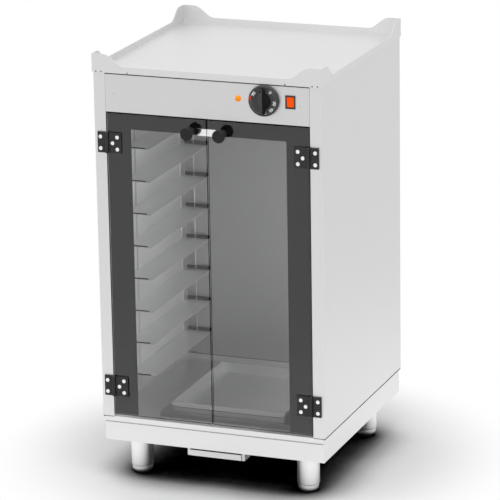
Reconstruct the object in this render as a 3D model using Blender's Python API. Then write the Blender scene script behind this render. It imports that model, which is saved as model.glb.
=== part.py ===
"""A free-standing proofing cabinet with two smoked glass doors, eight tray levels and a crown tray.

Metres, +Z up. The origin is on the floor under the middle of the body, and the doors face -Y.
"""

import math

import bmesh
import bpy
import numpy
from mathutils import Matrix, Vector

# Body and sheet metal
BODY_WIDTH = 0.520
BODY_DEPTH = 0.520
BODY_HEIGHT = 0.7785
SHEET = 0.0015
LINER = 0.0010
FIT = 0.0003
CUT_OVERRUN = 0.002
STILE_WIDTH = 0.0265
STILE_RETURN = 0.014
PANEL_FLANGE = 0.0080

# Base and legs
LEG_HEIGHT = 0.090
BASE_HEIGHT = 0.0565
BASE_INSET = 0.0032
LEG_RADIUS = 0.025
LEG_WALL = 0.0015
LEG_TURN = 0.0025
LEG_FLANGE_RADIUS = 0.036
LEG_FLANGE = 0.0025
LEG_SIDE_INSET = 0.063
LEG_END_INSET = 0.067
LEG_PLUG = 0.008
GLIDE_HEIGHT = 0.017
GLIDE_RADIUS = 0.023
GLIDE_SOLE = 0.004
GLIDE_SOLE_RADIUS = 0.0165
GLIDE_ROUNDING = 0.007
STUD_RADIUS = 0.005
STUD_REACH = 0.032
STUD_CLEARANCE = 0.0006

# Floor pan
SILL_DEPTH = 0.030
FLOOR_RECESS = 0.012
FLOOR_LIP = 0.011
DRAIN_RADIUS = 0.006
DRAIN_WALL = 0.001
DRAIN_COLLAR = 0.011

# Cavity
WALL_GAP = 0.010
REAR_SPACE = 0.045
DUCT_STEP = 0.008
DUCT_MARGIN = 0.023

# Crown tray
CROWN_SIDE_OVERHANG = 0.0020
CROWN_END_OVERHANG = 0.0030
CROWN_LIP = 0.0145
EAR_HEIGHT = 0.0263
EAR_FLAT = 0.027
EAR_SLOPE = 0.050
EAR_STEPS = 8

# Control panel
PANEL_HEIGHT = 0.083
PANEL_DROP = 0.0025
PANEL_RETURN = 0.012
CONTROL_RISE = 0.0085
LAMP_INSET = 0.1610
DIAL_INSET = 0.1015
SWITCH_INSET = 0.0430

# Doors
DOOR_LINE_GAP = 0.0015
DOOR_SIDE_GAP = 0.0006
DOOR_CENTRE_GAP = 0.0032
DOOR_SILL_GAP = 0.0055
GLASS = 0.005
GLASS_EDGE = 0.0006
BORDER = 0.0008
BORDER_SIDE = 0.0548
BORDER_TOP = 0.036

# Hinges
HINGE_HEIGHT = 0.046
HINGE_INSET = 0.0665
HINGE_AXIS_INSET = 0.0030
LEAF = 0.003
FRAME_LEAF_REACH = 0.0225
DOOR_LEAF_REACH = 0.033
BARREL_RADIUS = 0.004
BARREL_CLEARANCE = 0.0006
KNUCKLE_HEIGHT = 0.011
KNUCKLE_GAP = 0.0004
PIN_RADIUS = 0.002
PIN_CLEARANCE = 0.0003

# Door knobs, strike clips and catch
KNOB_RADIUS = 0.0142
KNOB_REACH = 0.029
KNOB_HEAD = 0.006
KNOB_ROUNDING = 0.002
KNOB_X = 0.0365
KNOB_DROP = 0.0285
KNOB_STEM_RADIUS = 0.0048
KNOB_FOOT_RADIUS = 0.009
KNOB_FOOT = 0.002
KNOB_FOOT_CHAMFER = 0.001
CLIP_LENGTH = 0.020
CLIP_HEIGHT = 0.0153
CLIP = 0.0007
CATCH_WIDTH = 0.044
CATCH_DEPTH = 0.030
CATCH_CLEARANCE = 0.0006

# Tray rack
LOWEST_LEVEL_GAP = 0.045
LEVEL_SPACING = 0.0747
TOP_LEVEL_DROP = 0.1099
LEDGE_FRONT = 0.124
LEDGE_BACK_GAP = 0.005
LEDGE_REACH = 0.074
LEDGE = 0.0015
UPRIGHT = 0.003
UPRIGHT_WIDTH = 0.018
FRONT_UPRIGHT = 0.188
REAR_UPRIGHT = 0.026
UPRIGHT_FOOT = 0.020
UPRIGHT_HEAD = 0.030

# Heater cover, element and water pan
HEATER_OFFSET = 0.014
HEATER_WIDTH = 0.318
HEATER_DEPTH = 0.350
HEATER_HEIGHT = 0.016
HEATER_SETBACK = 0.050
ELEMENT_RADIUS = 0.00325
ELEMENT_RISE = 0.008
ELEMENT_LEGS = 4
ELEMENT_SPACING = 0.072
ELEMENT_MARGIN = 0.025
ELEMENT_TAIL = 0.015
WATER_PAN_WIDTH = 0.268
WATER_PAN_DEPTH = 0.300
WATER_PAN_HEIGHT = 0.024
WATER_PAN_RIM = 0.0035
WATER_PAN_LIP = 0.0065
WATER_PAN_DRAFT = 0.0015
WATER_PAN_SETBACK = 0.006

# Drip tray and runner under the base
DRIP_WIDTH = 0.120
DRIP_DEPTH = 0.180
DRIP_HEIGHT = 0.013
DRIP_SETBACK = 0.012
DRIP_SHEET = 0.001
RUNNER_DROP = 0.0205
RUNNER_SIDE = 0.0066
RUNNER_LIP = 0.007
RUNNER_SETBACK = 0.004
RUNNER_CLEARANCE = 0.0006

# Thermostat
DIAL_RADIUS = 0.0335
DIAL_SKIRT = 0.006
DIAL_CORNER = 0.002
DIAL_STAND_OFF = 0.003
DIAL_HUB_RADIUS = 0.017
DIAL_HUB = 0.003
GRIP_WIDTH = 0.013
GRIP_LENGTH = 0.052
GRIP_HEIGHT = 0.0165
GRIP_ROUNDING = 0.003
SPINDLE_RADIUS = 0.003
SPINDLE_LENGTH = 0.013
BUSH_RADIUS = 0.005
BUSH_REACH = 0.0022
BUSH_CLEARANCE = 0.0005
THERMOSTAT_SIDE = 0.042
THERMOSTAT_DEPTH = 0.028

# Capillary sensor
CAPILLARY_RADIUS = 0.0012
BULB_RADIUS = 0.0032
BULB_LENGTH = 0.090
BULB_SETBACK = 0.120
CAPILLARY_DROP = 0.012
CAPILLARY_BEND = 0.002
CAPILLARY_CLEARANCE = 0.0008

# Rocker switch
SWITCH_WIDTH = 0.022
SWITCH_HEIGHT = 0.029
SWITCH_RIM = 0.0018
SWITCH_BODY_MARGIN = 0.0012
SWITCH_DEPTH = 0.022
SWITCH_POCKET_WIDTH = 0.0165
SWITCH_POCKET_HEIGHT = 0.0225
SWITCH_POCKET_DEPTH = 0.007
ROCKER_WIDTH = 0.0155
ROCKER_HALF_HEIGHT = 0.0103
ROCKER_BACK = 0.0025
ROCKER_FRONT = 0.0030
ROCKER_HOLLOW = 0.0010
ROCKER_TILT = math.radians(6)
ROCKER_STEPS = 6
ROCKER_PIVOT_DEPTH = 0.0015

# Pilot lamp
LAMP_RADIUS = 0.0065
LAMP_DOME = 0.0028
LAMP_RIM = 0.0012
LAMP_BODY_RADIUS = 0.0048
LAMP_BODY_LENGTH = 0.026
LAMP_CLEARANCE = 0.0004

# Supply entry
TERMINAL_LENGTH = 0.062
TERMINAL_DEPTH = 0.022
TERMINAL_HEIGHT = 0.018
TERMINAL_INSET = 0.120
TERMINAL_SETBACK = 0.110
GLAND_RADIUS = 0.012
GLAND_BORE = 0.0045
GLAND_THREAD_RADIUS = 0.008
GLAND_OUTSIDE = 0.018
GLAND_NUT = 0.006
GLAND_CLEARANCE = 0.0004
GLAND_INSET = 0.080
GLAND_DROP = 0.045

# Faces round a turned piece
ROUND_STEPS = 32
LEG_STEPS = 24
SMALL_STEPS = 16
ARC_STEPS = 4
TURN_STEPS = 8

# Planes that the pieces share
LEFT = -BODY_WIDTH / 2
FRONT = -BODY_DEPTH / 2
BACK = BODY_DEPTH / 2
BASE_BOTTOM = LEG_HEIGHT
BODY_BOTTOM = LEG_HEIGHT + BASE_HEIGHT
BODY_TOP = BODY_BOTTOM + BODY_HEIGHT
FLANGE_TOP = BODY_BOTTOM - FIT
FLOOR_TOP = FLANGE_TOP - FLOOR_RECESS
STILE_INNER = BODY_WIDTH / 2 - STILE_WIDTH
WALL_X = BODY_WIDTH / 2 - WALL_GAP
CAVITY_BACK = BACK - REAR_SPACE
LINER_FRONT = FRONT + STILE_RETURN + FIT
PANEL_TOP = BODY_TOP - PANEL_DROP
PANEL_BOTTOM = PANEL_TOP - PANEL_HEIGHT
GLAND_X = LEFT + GLAND_INSET
CONTROL_Z = (PANEL_TOP + PANEL_BOTTOM) / 2 + CONTROL_RISE
LAMP_X = STILE_INNER - LAMP_INSET
DIAL_X = STILE_INNER - DIAL_INSET
SWITCH_X = STILE_INNER - SWITCH_INSET
CEILING_TOP = PANEL_BOTTOM - FIT
CEILING_BOTTOM = CEILING_TOP - LINER
DOOR_TOP = PANEL_BOTTOM - DOOR_LINE_GAP
DOOR_BOTTOM = BODY_BOTTOM + DOOR_SILL_GAP
DOOR_OUTER = STILE_INNER - DOOR_SIDE_GAP
DOOR_FREE = DOOR_CENTRE_GAP / 2
GLASS_BACK = FRONT + GLASS
HINGE_X = STILE_INNER - HINGE_AXIS_INSET
HINGE_Y = FRONT - FIT - BARREL_RADIUS
HINGE_LEVELS = (DOOR_TOP - HINGE_INSET, DOOR_BOTTOM + HINGE_INSET)
KNOB_Z = DOOR_TOP - KNOB_DROP
TOP_LEVEL = DOOR_TOP - TOP_LEVEL_DROP
TRAY_LEVELS = 1 + int((TOP_LEVEL - FLOOR_TOP - LOWEST_LEVEL_GAP) / LEVEL_SPACING)
HEATER_FRONT = FRONT + HEATER_SETBACK
HEATER_TOP = FLOOR_TOP + FIT + HEATER_HEIGHT

SIDES = {"left": -1, "right": 1}
ENDS = {"front": FRONT + LEG_END_INSET, "rear": BACK - LEG_END_INSET}
FACING_FRONT = Matrix.Rotation(math.radians(90), 4, "X")
FACING_BACK = Matrix.Rotation(math.radians(-90), 4, "X")


def clear_scene():
    for obj in list(bpy.data.objects):
        bpy.data.objects.remove(obj)


def material(name, colour, roughness, metallic=0.0, alpha=1.0):
    found = bpy.data.materials.get(name)
    if found:
        return found
    made = bpy.data.materials.new(name)
    made.use_nodes = True
    shader = made.node_tree.nodes["Principled BSDF"]
    shader.inputs["Base Color"].default_value = (*colour, 1.0)
    shader.inputs["Roughness"].default_value = roughness
    shader.inputs["Metallic"].default_value = metallic
    shader.inputs["Alpha"].default_value = alpha
    made.diffuse_color = (*colour, alpha)
    return made


def steel():
    return material("brushed_steel", (0.78, 0.78, 0.79), 0.32, 1.0)


def liner_steel():
    return material("liner_steel", (0.62, 0.63, 0.64), 0.38, 1.0)


def smoked_glass():
    return material("smoked_glass", (0.10, 0.11, 0.11), 0.04, 0.0, 0.45)


def black_enamel():
    return material("black_enamel", (0.015, 0.015, 0.016), 0.25)


def black_plastic():
    return material("black_plastic", (0.035, 0.035, 0.037), 0.45)


def grey_plastic():
    return material("grey_plastic", (0.30, 0.30, 0.31), 0.50)


def add_object(name, bm, finish, place=None, smooth=False):
    """Links the finished mesh as an object and faces its surface outwards."""
    bmesh.ops.recalc_face_normals(bm, faces=bm.faces[:])
    mesh = bpy.data.meshes.new(name)
    bm.to_mesh(mesh)
    bm.free()
    if smooth:
        mesh.shade_smooth()
        mesh.set_sharp_from_angle(angle=math.radians(35))
    mesh.materials.append(finish)
    obj = bpy.data.objects.new(name, mesh)
    if place:
        obj.location = place
    bpy.context.scene.collection.objects.link(obj)
    return obj


def add_box(bm, low, high):
    """Adds a closed box between two corners and returns its faces."""
    middle = [(a + b) / 2 for a, b in zip(low, high)]
    size = [b - a for a, b in zip(low, high)]
    matrix = Matrix.Translation(middle) @ Matrix.Diagonal((*size, 1))
    made = bmesh.ops.create_cube(bm, size=1, matrix=matrix)
    return {face for corner in made["verts"] for face in corner.link_faces}


def block(name, low, high, finish, place=None, bevel=0.0):
    bm = bmesh.new()
    add_box(bm, low, high)
    if bevel:
        bmesh.ops.bevel(bm, geom=bm.edges[:], offset=bevel, segments=1, affect="EDGES")
    return add_object(name, bm, finish, place)


def thicken(bm, thickness):
    """Turns the skin in bm into a folded sheet: a second skin behind it, and the rim between the two."""
    bm.normal_update()
    twins = {}
    for corner in bm.verts[:]:
        normals = numpy.array([face.normal for face in corner.link_faces])
        depth = numpy.full(len(normals), -thickness)
        shift = numpy.linalg.lstsq(normals, depth, rcond=None)[0]
        twins[corner] = bm.verts.new(corner.co + Vector(shift))
    rims = [tuple(edge.verts) for edge in bm.edges if edge.is_boundary]
    for face in bm.faces[:]:
        bm.faces.new([twins[corner] for corner in reversed(face.verts[:])])
    for a, b in rims:
        bm.faces.new((a, b, twins[b], twins[a]))


def open_box(name, low, high, open_towards, thickness, finish, place=None):
    """A tray or cover folded from one sheet: a box without the side that faces open_towards."""
    bm = bmesh.new()
    faces = add_box(bm, low, high)
    bm.normal_update()
    away = Vector(open_towards)
    bmesh.ops.delete(bm, geom=[face for face in faces if face.normal.dot(away) > 0.5], context="FACES_ONLY")
    thicken(bm, thickness)
    return add_object(name, bm, finish, place)


def sheet_object(name, corners, faces, thickness, finish):
    """A folded sheet whose corners and faces lie on its outer side."""
    bm = bmesh.new()
    made = [bm.verts.new(corner) for corner in corners]
    for face in faces:
        bm.faces.new([made[index] for index in face])
    thicken(bm, thickness)
    return add_object(name, bm, finish)


def extruded(name, outline, axis, span, finish, place=None, smooth=False):
    """A prism: a closed outline in the plane across axis, drawn out between the two ends of span."""
    orders = {"X": lambda a, b, t: (t, a, b), "Y": lambda a, b, t: (a, t, b), "Z": lambda a, b, t: (a, b, t)}
    order = orders[axis]
    bm = bmesh.new()
    face = bm.faces.new([bm.verts.new(order(a, b, span[0])) for a, b in outline])
    made = bmesh.ops.extrude_face_region(bm, geom=[face])
    moved = [item for item in made["geom"] if isinstance(item, bmesh.types.BMVert)]
    bmesh.ops.translate(bm, verts=moved, vec=order(0, 0, span[1] - span[0]))
    return add_object(name, bm, finish, place, smooth)


def strip_outline(path, thickness):
    """The closed outline of a folded strip: the path, and the path again on its left side."""
    points = [Vector(point) for point in path]
    turns = []
    for a, b in zip(points, points[1:]):
        along = (b - a).normalized()
        turns.append(Vector((-along.y, along.x)))
    beside = []
    for i, point in enumerate(points):
        before = turns[max(i - 1, 0)]
        after = turns[min(i, len(turns) - 1)]
        middle = (before + after).normalized()
        beside.append(point + middle * (thickness / middle.dot(before)))
    return [tuple(point) for point in points] + [tuple(point) for point in reversed(beside)]


def arc(centre, radius, start, end, steps=ARC_STEPS):
    """Points along an arc, with its angles in degrees."""
    points = []
    for i in range(steps + 1):
        angle = math.radians(start + (end - start) * i / steps)
        points.append((centre[0] + radius * math.cos(angle), centre[1] + radius * math.sin(angle)))
    return points


def turned(name, profile, finish, place, facing=None, steps=ROUND_STEPS, closed=False):
    """A turned piece: a profile of (radius, height) spun about its own Z, then faced another way."""
    bm = bmesh.new()
    corners = [bm.verts.new((radius, 0, height)) for radius, height in profile]
    edges = [bm.edges.new(pair) for pair in zip(corners, corners[1:])]
    if closed:
        edges.append(bm.edges.new((corners[-1], corners[0])))
    bmesh.ops.spin(
        bm,
        geom=corners + edges,
        cent=(0, 0, 0),
        axis=(0, 0, 1),
        angle=math.tau,
        steps=steps,
        use_merge=True,
    )
    bmesh.ops.remove_doubles(bm, verts=bm.verts[:], dist=1e-6)
    if facing:
        bmesh.ops.transform(bm, matrix=facing, verts=bm.verts[:])
    return add_object(name, bm, finish, place, smooth=True)


def tube(name, points, radius, finish, resolution=2):
    """A bent rod along a list of points, closed at both ends."""
    curve = bpy.data.curves.new(name, "CURVE")
    curve.dimensions = "3D"
    curve.bevel_depth = radius
    curve.bevel_resolution = resolution
    curve.use_fill_caps = True
    spline = curve.splines.new("POLY")
    spline.points.add(len(points) - 1)
    for point, at in zip(spline.points, points):
        point.co = (*at, 1)
    curve.materials.append(finish)
    obj = bpy.data.objects.new(name, curve)
    bpy.context.scene.collection.objects.link(obj)
    return obj


def combine(obj, operation, helper):
    """Cuts a helper out of an object, or joins it to the object, and hides the helper."""
    step = obj.modifiers.new(helper.name, "BOOLEAN")
    step.operation = operation
    step.object = helper
    helper.hide_render = True
    helper.display_type = "WIRE"


def cut(obj, helper):
    combine(obj, "DIFFERENCE", helper)


def join(obj, helper):
    combine(obj, "UNION", helper)


def cutting_rod(name, radius, span, place, facing=None, steps=SMALL_STEPS):
    profile = [(0, span[0]), (radius, span[0]), (radius, span[1]), (0, span[1])]
    return turned(name, profile, steel(), place, facing, steps)


def build_base():
    inset_x = BODY_WIDTH / 2 - BASE_INSET
    inset_y = BODY_DEPTH / 2 - BASE_INSET
    top = FLANGE_TOP - SHEET - FIT
    low = (-inset_x, -inset_y, BASE_BOTTOM)
    base = open_box("base_tray", low, (inset_x, inset_y, top), (0, 0, 1), SHEET, steel())
    hole = DRAIN_RADIUS + DRAIN_WALL + FIT
    span = (-CUT_OVERRUN, SHEET + CUT_OVERRUN)
    cut(base, cutting_rod("base_drain_hole", hole, span, (0, 0, BASE_BOTTOM)))


def build_leg(side, end):
    """A steel tube leg with a plugged end, and the glide that screws into it on a stud."""
    place = (SIDES[side] * (BODY_WIDTH / 2 - LEG_SIDE_INSET), ENDS[end], 0)
    top = BASE_BOTTOM - FIT
    bottom = GLIDE_HEIGHT + FIT
    bore = STUD_RADIUS + STUD_CLEARANCE
    inside = LEG_RADIUS - LEG_WALL
    turn = arc((LEG_RADIUS - LEG_TURN, bottom + LEG_TURN), LEG_TURN, -90, 0)
    leg = [(bore, bottom), *turn, (LEG_RADIUS, top - LEG_FLANGE), (LEG_FLANGE_RADIUS, top - LEG_FLANGE)]
    leg += [(LEG_FLANGE_RADIUS, top), (inside, top), (inside, bottom + LEG_PLUG + LEG_TURN)]
    leg += [(bore, bottom + LEG_PLUG + LEG_TURN)]
    turned(f"leg_{end}_{side}", leg, steel(), place, steps=LEG_STEPS, closed=True)
    rounded = (GLIDE_RADIUS - GLIDE_ROUNDING, GLIDE_SOLE + GLIDE_ROUNDING)
    glide = [(0, 0), (GLIDE_SOLE_RADIUS, 0), (GLIDE_SOLE_RADIUS, GLIDE_SOLE)]
    glide += arc(rounded, GLIDE_ROUNDING, -90, 0)[1:]
    glide += [(GLIDE_RADIUS, GLIDE_HEIGHT), (STUD_RADIUS, GLIDE_HEIGHT)]
    glide += [(STUD_RADIUS, GLIDE_HEIGHT + STUD_REACH), (0, GLIDE_HEIGHT + STUD_REACH)]
    turned(f"glide_{end}_{side}", glide, steel(), place, steps=LEG_STEPS)


def build_floor_pan():
    """The cavity floor: a flange on the base, a shallow recess, and a lip folded over the front."""
    outer_x = BODY_WIDTH / 2 - BASE_INSET
    lip_y = FRONT + BASE_INSET - FIT - SHEET
    outer = [(-outer_x, lip_y), (outer_x, lip_y), (outer_x, BACK - BASE_INSET), (-outer_x, BACK - BASE_INSET)]
    inner_front = FRONT + SILL_DEPTH
    inner = [(-WALL_X, inner_front), (WALL_X, inner_front), (WALL_X, CAVITY_BACK), (-WALL_X, CAVITY_BACK)]
    corners = [(x, y, FLANGE_TOP) for x, y in outer + inner]
    corners += [(x, y, FLOOR_TOP) for x, y in inner]
    corners += [(x, y, FLANGE_TOP - FLOOR_LIP) for x, y in outer[:2]]
    faces = [(8, 9, 10, 11), (12, 13, 1, 0)]
    for i in range(4):
        after = (i + 1) % 4
        faces.append((i, after, 4 + after, 4 + i))
        faces.append((4 + i, 4 + after, 8 + after, 8 + i))
    pan = sheet_object("floor_pan", corners, faces, SHEET, steel())
    hole = DRAIN_RADIUS + DRAIN_WALL + FIT
    through = (-SHEET - CUT_OVERRUN, CUT_OVERRUN)
    cut(pan, cutting_rod("floor_drain_hole", hole, through, (0, 0, FLOOR_TOP)))
    for number, x in enumerate(element_ends()):
        place = (x, element_front(), FLOOR_TOP)
        cut(pan, cutting_rod(f"element_hole_{number}", ELEMENT_RADIUS + FIT, through, place))


def build_drain():
    """The spout that takes condensate from the floor pan through the base to the drip tray."""
    outside = DRAIN_RADIUS + DRAIN_WALL
    top = FLOOR_TOP + FIT
    bottom = BASE_BOTTOM - FIT - LINER - FIT
    profile = [(DRAIN_RADIUS, bottom), (outside, bottom), (outside, top), (DRAIN_COLLAR, top)]
    profile += [(DRAIN_COLLAR, top + DRAIN_WALL), (DRAIN_RADIUS, top + DRAIN_WALL)]
    turned("drain_spout", profile, steel(), (0, 0, 0), steps=SMALL_STEPS, closed=True)


def build_side_panel(side):
    """The outer skin of one side, folded round the front as a door stile, with flanges at both ends."""
    sign = SIDES[side]
    outline = [(0, 0), (0, BODY_DEPTH), (SHEET, BODY_DEPTH), (SHEET, SHEET), (STILE_WIDTH - SHEET, SHEET)]
    outline += [(STILE_WIDTH - SHEET, STILE_RETURN), (STILE_WIDTH, STILE_RETURN), (STILE_WIDTH, 0)]
    outline = [(sign * (BODY_WIDTH / 2 - x), FRONT + y) for x, y in outline]
    panel = extruded(f"{side}_side_panel", outline, "Z", (BODY_BOTTOM, BODY_TOP), steel())
    near = sign * (BODY_WIDTH / 2 - SHEET / 2)
    far = sign * (BODY_WIDTH / 2 - PANEL_FLANGE)
    y_range = (FRONT + STILE_RETURN + STILE_WIDTH, BACK - STILE_WIDTH)
    for end, z in {"foot": BODY_BOTTOM, "head": BODY_TOP - SHEET}.items():
        low = (min(near, far), y_range[0], z)
        high = (max(near, far), y_range[1], z + SHEET)
        join(panel, block(f"{side}_panel_{end}_flange", low, high, steel()))


def build_back_panel():
    half = BODY_WIDTH / 2 - SHEET - FIT
    panel = block("back_panel", (-half, BACK - SHEET, BODY_BOTTOM), (half, BACK, BODY_TOP), steel())
    hole = GLAND_THREAD_RADIUS + GLAND_CLEARANCE
    place = (GLAND_X, BACK, BODY_TOP - GLAND_DROP)
    span = (-SHEET - CUT_OVERRUN, CUT_OVERRUN)
    cut(panel, cutting_rod("gland_hole", hole, span, place, FACING_BACK))


def build_liners():
    """The inner walls and ceiling of the cavity."""
    foot = FLANGE_TOP + FIT
    head = CEILING_BOTTOM - FIT
    liner_back = CAVITY_BACK + DUCT_STEP + LINER
    for side, sign in SIDES.items():
        near = sign * WALL_X
        far = sign * (WALL_X + LINER)
        low = (min(near, far), LINER_FRONT, foot)
        high = (max(near, far), liner_back, head)
        block(f"{side}_liner", low, high, liner_steel())
    edge = WALL_X - FIT
    duct = WALL_X - DUCT_MARGIN
    path = [(-edge, CAVITY_BACK + DUCT_STEP), (-duct, CAVITY_BACK + DUCT_STEP), (-duct, CAVITY_BACK)]
    path += [(duct, CAVITY_BACK), (duct, CAVITY_BACK + DUCT_STEP), (edge, CAVITY_BACK + DUCT_STEP)]
    extruded("back_liner", strip_outline(path, LINER), "Z", (foot, head), liner_steel())
    half = BODY_WIDTH / 2 - SHEET - FIT
    low = (-half, LINER_FRONT, CEILING_BOTTOM)
    high = (half, BACK - SHEET - FIT, CEILING_TOP)
    ceiling = block("ceiling_liner", low, high, liner_steel())
    span = (-LINER - CUT_OVERRUN, CUT_OVERRUN)
    place = (DIAL_X, bulb_front() - CAPILLARY_DROP, CEILING_TOP)
    cut(ceiling, cutting_rod("capillary_hole", CAPILLARY_RADIUS + CAPILLARY_CLEARANCE, span, place))


def ear_profile(length):
    """Top edge of a crown wall from one corner to the other: ears, S-shaped slopes and a low lip."""
    half = [(0, EAR_HEIGHT)]
    for i in range(EAR_STEPS + 1):
        share = i / EAR_STEPS
        half.append((EAR_FLAT + EAR_SLOPE * share, EAR_HEIGHT * (1 + math.cos(math.pi * share)) / 2))
    return half + [(length - along, height) for along, height in reversed(half)]


def build_crown():
    """The tray on top, whose raised corners keep an oven or a stack of trays in place."""
    x = BODY_WIDTH / 2 + CROWN_SIDE_OVERHANG
    y = BODY_DEPTH / 2 + CROWN_END_OVERHANG
    foot = BODY_TOP + FIT
    base = [(-x, -y), (x, -y), (x, y), (-x, y)]
    corners = [(*corner, foot) for corner in base]
    tops = []
    for i in range(4):
        start = Vector(base[i])
        end = Vector(base[(i + 1) % 4])
        along = (end - start).normalized()
        row = []
        for distance, rise in ear_profile((end - start).length):
            point = start + along * distance
            row.append(len(corners))
            corners.append((point.x, point.y, foot + CROWN_LIP + rise))
        tops.append(row)
    for i in range(4):
        tops[i][-1] = tops[(i + 1) % 4][0]
    used = sorted({index for row in tops for index in row} | set(range(4)))
    renumbered = {index: place for place, index in enumerate(used)}
    faces = [(3, 2, 1, 0)]
    for i in range(4):
        wall = [i, (i + 1) % 4, *reversed(tops[i])]
        faces.append([renumbered[index] for index in wall])
    sheet_object("crown_tray", [corners[index] for index in used], faces, SHEET, steel())


def build_control_panel():
    half = STILE_INNER - FIT
    low = (-half, FRONT, PANEL_BOTTOM)
    high = (half, FRONT + PANEL_RETURN, PANEL_TOP)
    panel = open_box("control_panel", low, high, (0, 1, 0), SHEET, steel())
    span = (-SHEET - CUT_OVERRUN, CUT_OVERRUN)
    bush = (DIAL_X, FRONT, CONTROL_Z)
    cut(panel, cutting_rod("bush_hole", BUSH_RADIUS + BUSH_CLEARANCE, span, bush, FACING_FRONT))
    lamp = (LAMP_X, FRONT, CONTROL_Z)
    cut(panel, cutting_rod("lamp_hole", LAMP_BODY_RADIUS + LAMP_CLEARANCE, span, lamp, FACING_FRONT))
    half_width = SWITCH_WIDTH / 2 - SWITCH_BODY_MARGIN + FIT
    half_height = SWITCH_HEIGHT / 2 - SWITCH_BODY_MARGIN + FIT
    low = (SWITCH_X - half_width, FRONT - CUT_OVERRUN, CONTROL_Z - half_height)
    high = (SWITCH_X + half_width, FRONT + SHEET + CUT_OVERRUN, CONTROL_Z + half_height)
    cut(panel, block("switch_hole", low, high, steel()))


def build_dial():
    """The thermostat knob with its skirt, grip bar and spindle, turning about the spindle."""
    place = (DIAL_X, FRONT - DIAL_STAND_OFF, CONTROL_Z)
    edge = DIAL_RADIUS - DIAL_CORNER
    front = DIAL_SKIRT
    profile = [(0, -SPINDLE_LENGTH), (SPINDLE_RADIUS, -SPINDLE_LENGTH), (SPINDLE_RADIUS, 0), (DIAL_RADIUS, 0)]
    profile += arc((edge, front - DIAL_CORNER), DIAL_CORNER, 0, 90)
    profile += [(DIAL_HUB_RADIUS, front), (DIAL_HUB_RADIUS - DIAL_HUB, front + DIAL_HUB)]
    profile.append((0, front + DIAL_HUB))
    dial = turned("thermostat_dial", profile, black_plastic(), place, FACING_FRONT)
    bm = bmesh.new()
    add_box(
        bm,
        (-GRIP_WIDTH / 2, -DIAL_SKIRT - GRIP_HEIGHT, -GRIP_LENGTH / 2),
        (GRIP_WIDTH / 2, -DIAL_SKIRT / 2, GRIP_LENGTH / 2),
    )
    bmesh.ops.bevel(bm, geom=bm.edges[:], offset=GRIP_ROUNDING, segments=2, profile=0.5, affect="EDGES")
    join(dial, add_object("dial_grip", bm, black_plastic(), place))


def build_thermostat():
    """The thermostat behind the panel, with the bush that carries the dial's spindle."""
    half = THERMOSTAT_SIDE / 2
    behind = SHEET + FIT
    place = (DIAL_X, FRONT, CONTROL_Z)
    low = (-half, behind, -half)
    high = (half, behind + THERMOSTAT_DEPTH, half)
    body = block("thermostat_body", low, high, grey_plastic(), place)
    bush = [(0, -behind - CUT_OVERRUN), (BUSH_RADIUS, -behind - CUT_OVERRUN), (BUSH_RADIUS, BUSH_REACH)]
    bush += [(0, BUSH_REACH)]
    join(body, turned("thermostat_bush", bush, grey_plastic(), place, FACING_FRONT, SMALL_STEPS))
    depth = SPINDLE_LENGTH - DIAL_STAND_OFF + CUT_OVERRUN
    bore = (-depth, BUSH_REACH + CUT_OVERRUN)
    cut(body, cutting_rod("spindle_bore", SPINDLE_RADIUS + FIT, bore, place, FACING_FRONT))


def bulb_front():
    return FRONT + BULB_SETBACK


def build_sensor():
    """The thermostat's bulb under the ceiling, and the capillary that leads to it."""
    bulb_z = CEILING_BOTTOM - FIT - BULB_RADIUS
    profile = [(0, 0), (BULB_RADIUS, 0), (BULB_RADIUS, BULB_LENGTH), (0, BULB_LENGTH)]
    turned("sensor_bulb", profile, steel(), (DIAL_X, bulb_front(), bulb_z), FACING_BACK, SMALL_STEPS)
    start = FRONT + SHEET + FIT + THERMOSTAT_DEPTH + FIT
    drop_y = bulb_front() - CAPILLARY_DROP
    points = [(start, CONTROL_Z), (drop_y - CAPILLARY_BEND, CONTROL_Z), (drop_y, CONTROL_Z - CAPILLARY_BEND)]
    points += [(drop_y, bulb_z + CAPILLARY_BEND), (drop_y + CAPILLARY_BEND, bulb_z)]
    points.append((bulb_front() - FIT, bulb_z))
    tube("capillary_tube", [(DIAL_X, y, z) for y, z in points], CAPILLARY_RADIUS, steel(), 1)


def build_switch():
    """The switch housing and its lit rocker, which tilts about a level axis."""
    place = (SWITCH_X, FRONT, CONTROL_Z)
    half = (SWITCH_WIDTH / 2, SWITCH_HEIGHT / 2)
    low = (-half[0], -FIT - SWITCH_RIM, -half[1])
    high = (half[0], -FIT, half[1])
    housing = block("switch_housing", low, high, black_plastic(), place)
    inner = (half[0] - SWITCH_BODY_MARGIN, half[1] - SWITCH_BODY_MARGIN)
    low = (-inner[0], -SWITCH_RIM / 2, -inner[1])
    high = (inner[0], SWITCH_DEPTH, inner[1])
    join(housing, block("switch_body", low, high, black_plastic(), place))
    pocket = (SWITCH_POCKET_WIDTH / 2, SWITCH_POCKET_HEIGHT / 2)
    low = (-pocket[0], -SWITCH_RIM - CUT_OVERRUN, -pocket[1])
    high = (pocket[0], SWITCH_POCKET_DEPTH, pocket[1])
    cut(housing, block("switch_pocket", low, high, black_plastic(), place))
    outline = [(ROCKER_BACK, -ROCKER_HALF_HEIGHT), (ROCKER_BACK, ROCKER_HALF_HEIGHT)]
    for i in range(ROCKER_STEPS + 1):
        share = 1 - 2 * i / ROCKER_STEPS
        outline.append((-ROCKER_FRONT + ROCKER_HOLLOW * (1 - share**2), ROCKER_HALF_HEIGHT * share))
    pivot = (SWITCH_X, FRONT + ROCKER_PIVOT_DEPTH, CONTROL_Z)
    lens = material("rocker_lens", (0.95, 0.09, 0.02), 0.3)
    span = (-ROCKER_WIDTH / 2, ROCKER_WIDTH / 2)
    rocker = extruded("switch_rocker", outline, "X", span, lens, pivot)
    rocker.rotation_euler.x = ROCKER_TILT


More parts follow.
